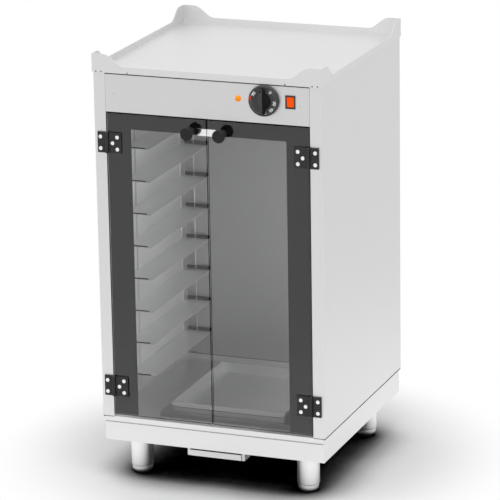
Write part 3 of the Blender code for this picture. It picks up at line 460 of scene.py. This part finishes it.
def dress_nodes():
    """Dresses every CAD node that no piece of the scene stands for."""
    dressed = {
        "upright": ("left_side_panel", "right_side_panel", "back_panel"),
        "level": ("control_panel", "drip_tray", "drip_tray_runner"),
        "crown": ("crown_tray",),
        "base": ("base_tray", "floor_pan"),
        "liner": ("left_liner", "right_liner"),
        "rear": ("back_liner",),
        "floor": ("ceiling_liner", "water_pan"),
        "cover": ("heater_cover",),
        "rack": ("left_tray_rack", "right_tray_rack"),
        "tube": [f"leg_{end}_{side}" for end in ENDS for side in SIDES],
        "mill": ("heating_element", "capillary_tube", "sensor_bulb", "drain_spout", "thermostat_body"),
        "grey": ("terminal_block", "magnetic_catch"),
        "polished": [f"{side}_strike_clip" for side in SIDES],
        "glass": [f"{side}_door_glass" for side in SIDES],
        "enamel": [f"{side}_door_border" for side in SIDES],
        "plastic": ("switch_housing",),
        "lit": ("switch_rocker",),
    }
    hinges = [f"{side}_{level}" for side in SIDES for level in ("top", "bottom")]
    dressed["hinge"] = [f"{hinge}_{leaf}_leaf" for hinge in hinges for leaf in ("frame", "door")]
    dressed["tube"] += [f"{hinge}_hinge_pin" for hinge in hinges]
    for finish, nodes in dressed.items():
        for node in nodes:
            dress(node, finish, 0 if finish in ("enamel", "glass") else EDGE_RADIUS)


# Pieces that stand for turned and moulded CAD nodes

# The door knobs
HEAD_THICKNESS = 0.006

# The thermostat knob: its grip bar, the skirt behind it and the finger hollows beside it
GRIP_RISE = 0.0165
GRIP_WIDTH = 0.0100
GRIP_LENGTH = 0.058
SKIRT_DEPTH = 0.006
HOLLOW_RADIUS = 0.0176
HOLLOW_DEPTH = 0.0135
HOLLOW_FOOT = 0.0030

# Its scale: each number with its hour on a clock's face, the fine marks and the red bar
HOUR = math.radians(30)
NUMBERS = (("90", 10.15), ("0", 1.35), ("30", 3.25), ("45", 4.5), ("60", 5.8))
NUMBER_INSET = 0.0078
MARK_INSET = 0.0052
MARK_STEP = 7.5
RED_BAR_HOUR = 9.33
RED_BAR_INSET = 0.0034


def centre(node):
    """The middle of a node's box."""
    low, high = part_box(node)
    return (low + high) / 2


def build_knobs():
    """The door knobs: a flat face with a rounded rim, a waisted stem and a foot against the glass."""
    for side in SIDES:
        node = f"{side}_door_knob"
        low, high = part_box(node)
        radius = (high.x - low.x) / 2
        reach = high.y - low.y
        back = reach - HEAD_THICKNESS
        profile = [(0, 0), (0.0086, 0), (0.009, 0.0004), (0.009, 0.0014)]
        profile += arc((0.0084, 0.0014), 0.0006, 0, 90, 4)
        profile += [(0.0062, 0.0028), (0.0052, 0.0042), (0.0048, 0.0062), (0.0047, 0.0100)]
        profile += [(0.0050, back - 0.002), (0.0060, back), (radius - 0.0020, back + 0.0001)]
        profile += arc((radius - 0.0018, back + 0.0019), 0.0018, -82, 0)
        profile += arc((radius - 0.0020, reach - 0.0021), 0.0020, 0, 82)
        profile += [(radius - 0.0040, reach - 0.0001), (0, reach)]
        bm = bmesh.new()
        turn(bm, profile, at((centre(node).x, high.y, centre(node).z), FACING_FRONT), 72)
        add_piece(f"{side}_round_knob", bm, ["gloss"], f"{side}_door", [node])


def stadium(width, length, y, steps=12):
    """A ring of points round a bar with round ends, upright in the plane at y."""
    radius = width / 2
    straight = length / 2 - radius
    points = []
    for end, start in ((1, 0), (-1, 180)):
        for i in range(steps + 1):
            angle = math.radians(start + 180 * i / steps)
            points.append((radius * math.cos(angle), y, end * straight + radius * math.sin(angle)))
    return points


def build_dial():
    """The thermostat knob: a round skirt, finger hollows, a grip bar with its pointer dot, and the scale."""
    low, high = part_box("thermostat_dial")
    middle = (low + high) / 2
    radius = (high.x - low.x) / 2
    face = low.y + GRIP_RISE
    place = at((middle.x, face + SKIRT_DEPTH, middle.z), FACING_FRONT)
    bm = bmesh.new()
    profile = [(0, -0.013), (0.003, -0.013), (0.003, 0), (radius - 0.0006, 0), (radius, 0.0006)]
    profile += [(radius, 0.0036)] + arc((radius - 0.0022, 0.0036), 0.0022, 0, 82, 6)
    profile += [(radius - 0.0040, 0.0057), (radius - 0.0050, 0.0054), (HOLLOW_RADIUS + 0.0006, 0.0054)]
    profile += [(HOLLOW_RADIUS, 0.0050), (0, 0.0050)]
    turn(bm, profile, place, 96)
    flank = ((-0.0048, 0.0), (0.003, 0.0002), (0.010, 0.0009), (0.0142, 0.0013))
    crest = ((0.0142, 0.0013), (0.0157, 0.0017), (0.0162, 0.0022), (GRIP_RISE, 0.0030))
    for slot, levels in ((1, flank), (0, crest)):
        sections = []
        for rise, inset in levels:
            ring = stadium(GRIP_WIDTH - 2 * inset, GRIP_LENGTH - 2 * inset, face - rise)
            sections.append([(middle.x + x, y, middle.z + z) for x, y, z in ring])
        loft(bm, sections, slot)
    rim = arc((0, 0), HOLLOW_RADIUS, -90, 90, 24)
    for sign in SIDES.values():
        rows = []
        for step in range(9):
            share = step / 8
            y = face + 0.0006 - HOLLOW_DEPTH * share ** 2.4
            row = [(x - max(0, x - HOLLOW_FOOT) * share, z) for x, z in rim]
            rows.append([(middle.x + sign * x, y, middle.z + z) for x, z in row])
        sheet(bm, rows, sign < 0, 1 if sign > 0 else 0)
    # The second colour is near-black painted shade: it goes on the grip bar's flanks and on the right finger
    # hollow, where the bar's shadow falls.
    finishes = ["plastic", "rubber_and_painted_shade"]
    add_piece("dial_knob", bm, finishes, "thermostat_knob", ["thermostat_dial"])

    bm = bmesh.new()
    dot = at((middle.x, low.y + 0.0001, middle.z + 0.0245), FACING_FRONT)
    turn(bm, [(0, 0), (0.0021, 0), (0.0021, 0.0002), (0.0016, 0.0002), (0, 0.00005)], dot, 32)
    add_piece("dial_pointer_dot", bm, ["gap"], "thermostat_knob")
    build_scale(middle, radius, face)


def build_scale(middle, radius, face):
    """The numbers printed round the skirt, the fine marks between them and the red bar."""
    bm = bmesh.new()
    surface = face + 0.0005
    front = at((middle.x, surface, middle.z), FACING_FRONT)
    for text, hour in NUMBERS:
        angle = math.pi / 2 - hour * HOUR
        curve = bpy.data.curves.new("number", "FONT")
        curve.body = text
        curve.size = 0.0098
        curve.extrude = 0.00012
        curve.offset = 0.00045
        curve.align_x = "CENTER"
        curve.align_y = "CENTER"
        source = new_object("number", curve)
        mesh = final_mesh(source)
        bpy.data.objects.remove(source)
        bpy.data.curves.remove(curve)
        ring = radius - NUMBER_INSET
        spot = (middle.x + ring * math.cos(angle), surface, middle.z + ring * math.sin(angle))
        add_copy(bm, mesh, at(spot, FACING_FRONT) @ Matrix.Rotation(angle - math.pi / 2, 4, "Z"))
        bpy.data.meshes.remove(mesh)
    for i in range(37):
        size = Matrix.Diagonal((0.0016 if i % 4 else 0.0024, 0.00035, 0.0002, 1))
        turned = front @ Matrix.Rotation(math.radians(60 - MARK_STEP * i), 4, "Z")
        place = turned @ Matrix.Translation((radius - MARK_INSET, 0, 0))
        bmesh.ops.create_cube(bm, size=1, matrix=place @ size)
    add_piece("dial_scale", bm, ["white"], "thermostat_knob")
    bm = bmesh.new()
    turned = front @ Matrix.Rotation(math.pi / 2 - RED_BAR_HOUR * HOUR, 4, "Z")
    place = turned @ Matrix.Translation((radius - RED_BAR_INSET, 0, 0))
    bmesh.ops.create_cube(bm, size=1, matrix=place @ Matrix.Diagonal((0.0052, 0.0100, 0.0006, 1)))
    bmesh.ops.bevel(bm, geom=bm.edges[:], offset=0.0001, segments=1, affect="EDGES")
    add_piece("dial_red_bar", bm, ["red"], "thermostat_knob")


def build_feet():
    """The levelling feet: a rounded steel foot with a black sole, and its stud."""
    for end in ENDS:
        for side in SIDES:
            node = f"glide_{end}_{side}"
            low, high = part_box(node)
            middle = (low + high) / 2
            place = Matrix.Translation((middle.x, middle.y, low.z))
            radius = (high.x - low.x) / 2
            bm = bmesh.new()
            turn(bm, [(0, 0), (0.0155, 0), (0.0175, 0.0008), (0.0180, 0.0040), (0, 0.0040)], place, 64, 1)
            profile = [(0, 0.0042), (radius - 0.0065, 0.0042)]
            profile += arc((radius - 0.0068, 0.0110), 0.0068, -86, 0, 8)
            profile += [(radius, 0.0160), (radius - 0.0006, 0.0168)]
            profile += [(0.005, 0.0168), (0.005, 0.048), (0, 0.0488)]
            turn(bm, profile, place, 64)
            body = f"{end}_{side}_foot"
            add_piece(f"foot_{end}_{side}", bm, ["tube", "rubber_and_painted_shade"], body, [node])


def build_lamp():
    """The pilot lamp: a domed amber lens with a rim of its own."""
    low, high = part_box("pilot_lamp")
    middle = (low + high) / 2
    place = at((middle.x, -HALF_DEPTH, middle.z), FACING_FRONT)
    height = -HALF_DEPTH - low.y
    rise = height - 0.0014
    bm = bmesh.new()
    profile = [(0, -0.024), (0.0046, -0.024), (0.0046, 0.0004), (0.0051, 0.0012)]
    profile += [(0.0053 * x, 0.0014 + rise * z) for x, z in arc((0, 0), 1, 0, 80)]
    profile.append((0, height))
    turn(bm, profile, place, 48)
    rim = [(0.0047, 0.0004), (0.0065, 0.0004), (0.0065, 0.0009), (0.0061, 0.0016)]
    rim += [(0.0055, 0.0018), (0.0052, 0.0014), (0.0047, 0.0006)]
    turn(bm, rim, place, 48, 1)
    add_piece("pilot_lamp_lens", bm, ["amber", "amber"], "cabinet", ["pilot_lamp"])


def build_gland():
    """The cable gland: a hexagonal body, a locknut inside the back panel and a ribbed dome nut."""
    low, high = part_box("cable_gland")
    middle = (low + high) / 2
    place = at((middle.x, HALF_DEPTH, middle.z), FACING_BACK)
    bm = bmesh.new()
    for span, radius in (((0.0004, 0.0050), 0.0119), ((-0.0074, -0.0022), 0.0118)):
        ring = [(radius * math.cos(math.tau * i / 6), radius * math.sin(math.tau * i / 6)) for i in range(6)]
        low, high = span
        sections = []
        for height, share in ((low, 0.95), (low + 0.0006, 1), (high - 0.0006, 1), (high, 0.95)):
            sections.append([place @ Vector((x * share, y * share, height)) for x, y in ring])
        loft(bm, sections)
    steps = 72
    sections = []
    dome = [(0.0050, 0.0098, 0), (0.0054, 0.0101, 0.0003), (0.0125, 0.0099, 0.0003)]
    dome += [(0.0150, 0.0090, 0.0001), (0.0170, 0.0074, 0), (0.0178, 0.0060, 0)]
    dome += [(0.0178, 0.0046, 0), (0.0060, 0.0045, 0)]
    for height, radius, rib in dome:
        ring = []
        for i in range(steps):
            out = radius + (rib if i % 4 < 2 else -rib)
            angle = math.tau * i / steps
            ring.append(place @ Vector((out * math.cos(angle), out * math.sin(angle), height)))
        sections.append(ring)
    loft(bm, sections)
    add_piece("ribbed_gland", bm, ["plastic"], "cabinet", ["cable_gland"])


# Small fixings

def build_screws():
    """The hinge screws, the control panel's two screws and those round the back panel."""
    big = screw_head(0.0045, 0.0022)
    small = screw_head(0.0033, 0.0013)
    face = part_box("left_top_frame_leaf")[1].y - 0.003
    levels = [centre(f"left_{level}_hinge_pin").z for level in ("top", "bottom")]
    for side, sign in SIDES.items():
        for body, places in (("cabinet", ((0.2458, 0.0122), (0.2458, -0.0136))),
                             (f"{side}_door", ((0.207, 0.0127), (0.207, -0.0141), (0.218, -0.0008)))):
            bm = bmesh.new()
            for z in levels:
                for i, (x, rise) in enumerate(places):
                    spin = Matrix.Rotation(0.5 + 1.1 * i + z, 4, "Z")
                    add_copy(bm, big, at((sign * x, face, z + rise), FACING_FRONT) @ spin)
            part = "frame" if body == "cabinet" else "door"
            add_piece(f"hinge_screws_{side}_{part}", bm, ["polished"], body)
    bm = bmesh.new()
    for sign in SIDES.values():
        add_copy(bm, small, at((sign * 0.2160, -HALF_DEPTH - 0.0001, 0.8822), FACING_FRONT))
    add_piece("panel_screws", bm, ["level"], "cabinet")
    bm = bmesh.new()
    spots = [(sign * 0.2500, 0.165 + i * 0.1475) for sign in SIDES.values() for i in range(6)]
    spots += [(x, z) for x in (-0.125, 0.0, 0.125) for z in (0.158, 0.912)]
    for x, z in spots:
        add_copy(bm, small, at((x, HALF_DEPTH, z), FACING_BACK) @ Matrix.Rotation(x * 9 + z, 4, "Z"))
    add_piece("back_panel_screws", bm, ["polished"], "cabinet")


def build_crown_marks():
    """The small holes above the crown's folds, each with a pressed rim; the hole's dark inside is a
    near-black disc just under the rim, painted shade.
    """
    bm = bmesh.new()
    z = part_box("crown_tray")[0].z + 0.0022
    spots = []
    for inset in (0.0075, 0.0195, 0.0800):
        for sign in SIDES.values():
            x = sign * (HALF_WIDTH - inset)
            spots.append(at((x, -CROWN_FRONT, z), FACING_FRONT))
            spots.append(at((x, CROWN_FRONT, z), FACING_BACK))
    for side, sign in SIDES.items():
        for y in (-0.1145, 0.1145):
            spots.append(at((sign * CROWN_SIDE, y, z), FACING_SIDE[side]))
    for place in spots:
        turn(bm, [(0.0015, 0.0001), (0.0016, 0.0002), (0.0019, 0.0002), (0.0022, 0.00002)], place, 24)
        turn(bm, [(0, 0.00012), (0.00155, 0.00012)], place, 24, 1)
    add_piece("crown_holes", bm, ["crown", "gap"], "cabinet")


def build_weld_marks():
    """The shallow spot welds of the ceiling liner on the side panels, and the rivets under the base."""
    bm = bmesh.new()
    for side, sign in SIDES.items():
        for i in range(4):
            place = at((sign * HALF_WIDTH, -0.2000 + i * 0.1350, 0.8250), FACING_SIDE[side])
            turn(bm, [(0.0026, 0), (0.0022, 0.00012), (0.0012, 0.00006), (0, 0.00004)], place, 24)
    add_piece("spot_welds", bm, ["upright"], "cabinet")
    bm = bmesh.new()
    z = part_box("base_tray")[0].z
    for x in (-0.180, -0.060, 0.060, 0.180):
        for y in (-0.2515, 0.2515):
            profile = [(0.0040, 0)] + arc((0, -0.0022), 0.0046, 30, 88, 6) + [(0, 0.0024)]
            turn(bm, profile, at((x, y, z), FACING_DOWN), 24)
    add_piece("base_rivets", bm, ["tube"], "cabinet")


def add_bar(bm, low, high, corner=0.0):
    """Adds a bar between two corners, with its edges rounded off."""
    middle = (Vector(low) + Vector(high)) / 2
    size = Vector(high) - Vector(low)
    matrix = Matrix.Translation(middle) @ Matrix.Diagonal((*size, 1))
    made = bmesh.ops.create_cube(bm, size=1, matrix=matrix)
    if corner:
        edges = list({edge for vert in made["verts"] for edge in vert.link_edges})
        bmesh.ops.bevel(bm, geom=edges, offset=corner, segments=2, affect="EDGES")


def build_painted_shadow_strips():
    """Painted shadow lines: a near-black strip over the base where shade falls under the side panels, a grey
    line under the floor's lip where its step is in shade, and a near-black strip in the gap over the doors.
    """
    bm = bmesh.new()
    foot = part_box("base_tray")[1].z + 0.0003
    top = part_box("left_side_panel")[0].z - 0.0002
    outer = HALF_WIDTH - 0.0003
    rear = HALF_DEPTH - 0.0012
    for sign in SIDES.values():
        x = sorted((sign * 0.2570, sign * outer))
        add_bar(bm, (x[0], -0.2584, foot - 0.0009), (x[1], rear, top), 0.0002)
        x = sorted((sign * 0.2340, sign * outer))
        add_bar(bm, (x[0], -0.2598, top - 0.0011), (x[1], -rear, top), 0.0001)
    add_bar(bm, (-0.2565, 0.2570, foot), (0.2565, rear, top), 0.0002)
    add_piece("joint_shadow_strip", bm, ["gap"], "cabinet")
    bm = bmesh.new()
    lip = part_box("floor_pan")[0]
    add_bar(bm, (-0.2560, lip.y + 0.0002, lip.z - 0.0002), (0.2560, lip.y + 0.0017, lip.z + 0.0001), 0.0001)
    add_piece("lip_shadow_line", bm, ["grey"], "cabinet")
    bm = bmesh.new()
    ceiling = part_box("control_panel")[0].z
    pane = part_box("left_door_glass")[1].z
    add_bar(bm, (-0.2330, -0.2594, pane + 0.0002), (0.2330, -0.2570, ceiling - 0.0001), 0.0002)
    add_piece("door_head_shadow_strip", bm, ["gap"], "cabinet")


def build_glass_edges():
    """The ground edges of the two panes, made near-black so that they look nearly black from the front:
    painted shade on the edges.
    """
    out, inset, corner = 0.00012, 0.0006, 0.00004
    chamfer, head_chamfer = 0.0009, 0.0012
    for side in SIDES:
        low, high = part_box(f"{side}_door_glass")
        front = low.y + 0.0003
        back = high.y - 0.0003
        bm = bmesh.new()
        for x in (low.x, high.x):
            add_bar(bm, (x - out, front, low.z + inset), (x + out, back, high.z - inset), corner)
        for z in (low.z, high.z):
            add_bar(bm, (low.x + inset, front, z - out), (high.x - inset, back, z + out), corner)
        outer = low.x if side == "left" else high.x - chamfer
        add_bar(bm, (outer, low.y - 0.0001, low.z), (outer + chamfer, front, high.z), corner)
        add_bar(bm, (low.x, low.y - 0.0001, high.z - head_chamfer), (high.x, front, high.z), corner)
        add_piece(f"{side}_glass_edges", bm, ["gap"], f"{side}_door")


def pan_outline(low, high, corner=0.012, inset=0.0003):
    """The pan's outline a little outside its wall, with round corners, closed on its first point."""
    x = (low.x + inset, high.x - inset)
    y = (low.y + inset, high.y - inset)
    points = []
    left, right = x[0] + corner, x[1] - corner
    front, back = y[0] + corner, y[1] - corner
    corners = ((right, front), (right, back), (left, back), (left, front))
    for start, middle in zip((-90, 0, 90, 180), corners):
        points += arc(middle, corner, start, start + 90, 6)
    return points + points[:1]


def build_films():
    """The reflecting film on the front of each pane."""
    for side in SIDES:
        low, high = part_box(f"{side}_door_glass")
        bm = bmesh.new()
        back = low.y - 0.00012
        add_bar(bm, (low.x + 0.001, back - 0.0001, low.z + 0.001), (high.x - 0.001, back, high.z - 0.0013))
        add_piece(f"{side}_film", bm, ["film"], f"{side}_door")


def build_seam_shade_and_hem():
    """The near-black bar under the back liner, painted shade in its joint, and the hem line round the water
    pan with a near-black band under it, painted shadow.
    """
    bm = bmesh.new()
    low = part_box("back_liner")[0]
    add_bar(bm, (-0.2480, low.y - 0.0008, low.z - 0.0002), (0.2480, low.y, low.z + 0.0009), 0.0002)
    add_piece("liner_seam_shade", bm, ["gap"], "cabinet")
    bm = bmesh.new()
    low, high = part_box("water_pan")
    levels = (high.z - 0.0063, high.z - 0.0108, high.z - 0.0122)
    rows = [[(x, y, z) for x, y in pan_outline(low, high)] for z in levels]
    sheet(bm, rows[:2], True)
    sheet(bm, rows[1:], True, 1)
    add_piece("pan_hem_and_shadow", bm, ["floor", "gap"], "water_pan")


def build_tray_stops():
    """The stops at the ledges' rear ends, near-black as painted shade behind the ledges, the near-black
    strips at their front ends, painted shadow lines, and the stops' wire.
    """
    for side, sign in SIDES.items():
        low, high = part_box(f"{side}_tray_rack")
        inner = min(abs(low.x), abs(high.x))
        bm = bmesh.new()
        for level in range(LEDGES):
            z = TOP_LEDGE - level * LEDGE_PITCH
            x = sorted((sign * (inner + 0.0015), sign * 0.2445))
            add_bar(bm, (x[0], high.y - 0.0016, z + 0.0001), (x[1], high.y - 0.0002, z + 0.0086), 0.0004)
            x = sorted((sign * (inner + 0.0100), sign * 0.2470))
            add_bar(bm, (x[0], low.y - 0.0002, z - 0.0004), (x[1], low.y + 0.0010, z + 0.0022), 0.0001)
        add_piece(f"{side}_tray_stops_and_shadow_strips", bm, ["gap"], "cabinet")
        bm = bmesh.new()
        profile = [(0, 0.1990), (0.0008, 0.1994), (0.0008, 0.7430), (0, 0.7434)]
        turn(bm, profile, Matrix.Translation((sign * 0.2215, high.y - 0.0030, 0)), 16)
        add_piece(f"{side}_stop_wire", bm, ["polished"], "cabinet")


# Floor, light and camera

def seen_directly(tree):
    """One for the camera's rays, reflections and refractions that no matt surface has sent on."""
    path = tree.nodes.new("ShaderNodeLightPath")
    kinds = []
    for first, second in (("Is Camera Ray", "Is Glossy Ray"), (None, "Is Transmission Ray")):
        larger = tree.nodes.new("ShaderNodeMath")
        larger.operation = "MAXIMUM"
        tree.links.new(path.outputs[first] if first else kinds[0], larger.inputs[0])
        tree.links.new(path.outputs[second], larger.inputs[1])
        kinds.append(larger.outputs[0])
    matt = tree.nodes.new("ShaderNodeMath")
    matt.operation = "LESS_THAN"
    matt.inputs[1].default_value = 0.5
    tree.links.new(path.outputs["Diffuse Depth"], matt.inputs[0])
    both = tree.nodes.new("ShaderNodeMath")
    both.operation = "MULTIPLY"
    tree.links.new(kinds[1], both.inputs[0])
    tree.links.new(matt.outputs[0], both.inputs[1])
    return both.outputs[0]


def fade(tree, value, span, ends, socket):
    """Goes smoothly from the first end to the second while the value crosses the span."""
    steps = tree.nodes.new("ShaderNodeMapRange")
    steps.interpolation_type = "SMOOTHSTEP"
    steps.inputs["From Min"].default_value = span[0]
    steps.inputs["From Max"].default_value = span[1]
    steps.inputs["To Min"].default_value = ends[0]
    steps.inputs["To Max"].default_value = ends[1]
    tree.links.new(value, steps.inputs["Value"])
    tree.links.new(steps.outputs["Result"], socket)


def build_floor():
    """A pale floor that keeps the shadow near the cabinet and goes over to the white background; its colour
    near the cabinet is darkened by ambient occlusion, painted shade under and beside it.
    """
    bm = bmesh.new()
    turn(bm, [(0, 0), (0.8, 0), (1.6, 0), (3.0, 0), (9.0, 0)], Matrix.Translation((0, 0, -0.0003)), 64)
    mesh = new_mesh("floor", bm)
    floor = new_object("floor", mesh)
    made, tree, shader = new_material("pale_floor")
    tree.nodes.remove(shader)
    output = tree.nodes["Material Output"]
    near = tree.nodes.new("ShaderNodeBsdfDiffuse")
    plain = tree.nodes.new("ShaderNodeBsdfDiffuse")
    plain.inputs["Color"].default_value = (0.25, 0.25, 0.25, 1)
    far = tree.nodes.new("ShaderNodeEmission")
    glow = tree.nodes.new("ShaderNodeEmission")
    # Ambient occlusion turns the near floor's colour black under and beside the cabinet: painted shade.
    hidden = tree.nodes.new("ShaderNodeAmbientOcclusion")
    hidden.inputs["Distance"].default_value = 0.16
    hidden.samples = 16
    stops = [(0.42, (0.0, 0.0, 0.0)), (0.80, (0.86, 0.86, 0.86))]
    ramp(tree, hidden.outputs["AO"], stops, near.inputs["Color"])
    place = tree.nodes.new("ShaderNodeTexCoord")
    length = tree.nodes.new("ShaderNodeVectorMath")
    length.operation = "LENGTH"
    tree.links.new(place.outputs["Object"], length.inputs[0])
    distance = length.outputs["Value"]
    shown = tree.nodes.new("ShaderNodeMixShader")
    reflected = tree.nodes.new("ShaderNodeMixShader")
    picture = tree.nodes.new("ShaderNodeMixShader")
    choice = tree.nodes.new("ShaderNodeMixShader")
    path = tree.nodes.new("ShaderNodeLightPath")
    fade(tree, distance, (0.36, 0.62), (0, 1), shown.inputs["Fac"])
    fade(tree, distance, (0.26, 0.46), (0, 0.9), reflected.inputs["Fac"])
    fade(tree, distance, (0.60, 1.80), (1.15, 0.97), glow.inputs["Strength"])
    tree.links.new(near.outputs[0], shown.inputs[1])
    tree.links.new(far.outputs[0], shown.inputs[2])
    tree.links.new(near.outputs[0], reflected.inputs[1])
    tree.links.new(glow.outputs[0], reflected.inputs[2])
    tree.links.new(path.outputs["Is Camera Ray"], picture.inputs["Fac"])
    tree.links.new(reflected.outputs[0], picture.inputs[1])
    tree.links.new(shown.outputs[0], picture.inputs[2])
    tree.links.new(seen_directly(tree), choice.inputs["Fac"])
    tree.links.new(plain.outputs[0], choice.inputs[1])
    tree.links.new(picture.outputs[0], choice.inputs[2])
    tree.links.new(choice.outputs[0], output.inputs["Surface"])
    mesh.materials.append(made)


def build_world():
    """A soft sky: white where it is seen or reflected, and as a light strongest from above."""
    world = bpy.data.worlds.new("studio")
    bpy.context.scene.world = world
    world.use_nodes = True
    tree = world.node_tree
    background = tree.nodes["Background"]
    background.inputs["Color"].default_value = (1, 1, 1, 1)
    direction = tree.nodes.new("ShaderNodeTexCoord")
    parts = tree.nodes.new("ShaderNodeSeparateXYZ")
    strength = tree.nodes.new("ShaderNodeMapRange")
    strength.inputs["To Max"].default_value = 1.0
    tree.links.new(direction.outputs["Generated"], parts.inputs["Vector"])
    fade(tree, parts.outputs["Z"], (-0.05, 0.60), (0.45, 0.96), strength.inputs["To Min"])
    tree.links.new(seen_directly(tree), strength.inputs["Value"])
    tree.links.new(strength.outputs["Result"], background.inputs["Strength"])


def add_lamp(name, place, target, size, power, hidden=False):
    """A rectangular lamp that points at its target, and that the camera can be kept from seeing."""
    light = bpy.data.lights.new(name, "AREA")
    light.shape = "RECTANGLE"
    light.size, light.size_y = size
    light.energy = power
    lamp = new_object(name, light)
    lamp.location = place
    lamp.rotation_euler = (Vector(target) - Vector(place)).to_track_quat("-Z", "Y").to_euler()
    lamp.visible_camera = not hidden
    lamp.visible_transmission = not hidden


def build_camera():
    """The photograph's camera, found from the body's edges."""
    azimuth = math.radians(21.122)
    elevation = math.radians(16.191)
    roll = math.radians(-0.959)
    level = math.cos(elevation)
    right = Vector((math.cos(azimuth), math.sin(azimuth), 0))
    back = Vector((level * math.sin(azimuth), -level * math.cos(azimuth), math.sin(elevation)))
    up = back.cross(right)
    across = math.cos(roll) * right + math.sin(roll) * up
    upward = math.cos(roll) * up - math.sin(roll) * right
    data = bpy.data.cameras.new("camera")
    data.lens = 233.69
    data.sensor_width = 36
    camera = new_object("camera", data)
    turned = Matrix((across, upward, back)).transposed().to_4x4()
    camera.matrix_world = Matrix.Translation((2.4983, -6.4838, 2.4950)) @ turned
    bpy.context.scene.camera = camera


build_camera()
dress_nodes()
build_knobs()
build_dial()
build_feet()
build_lamp()
build_gland()
build_screws()
build_crown_marks()
build_weld_marks()
build_painted_shadow_strips()
build_glass_edges()
build_films()
build_seam_shade_and_hem()
build_tray_stops()
build_floor()
build_world()
add_lamp("overhead", (0.3, -1.3, 3.2), (0, -0.4, 0.2), (2.2, 2.2), 22)
add_lamp("cavity", (0.115, -0.05, 0.47), (-0.25, 0.02, 0.41), (0.26, 0.60), 1.2, hidden=True)
bpy.context.scene.view_settings.view_transform = "Standard"
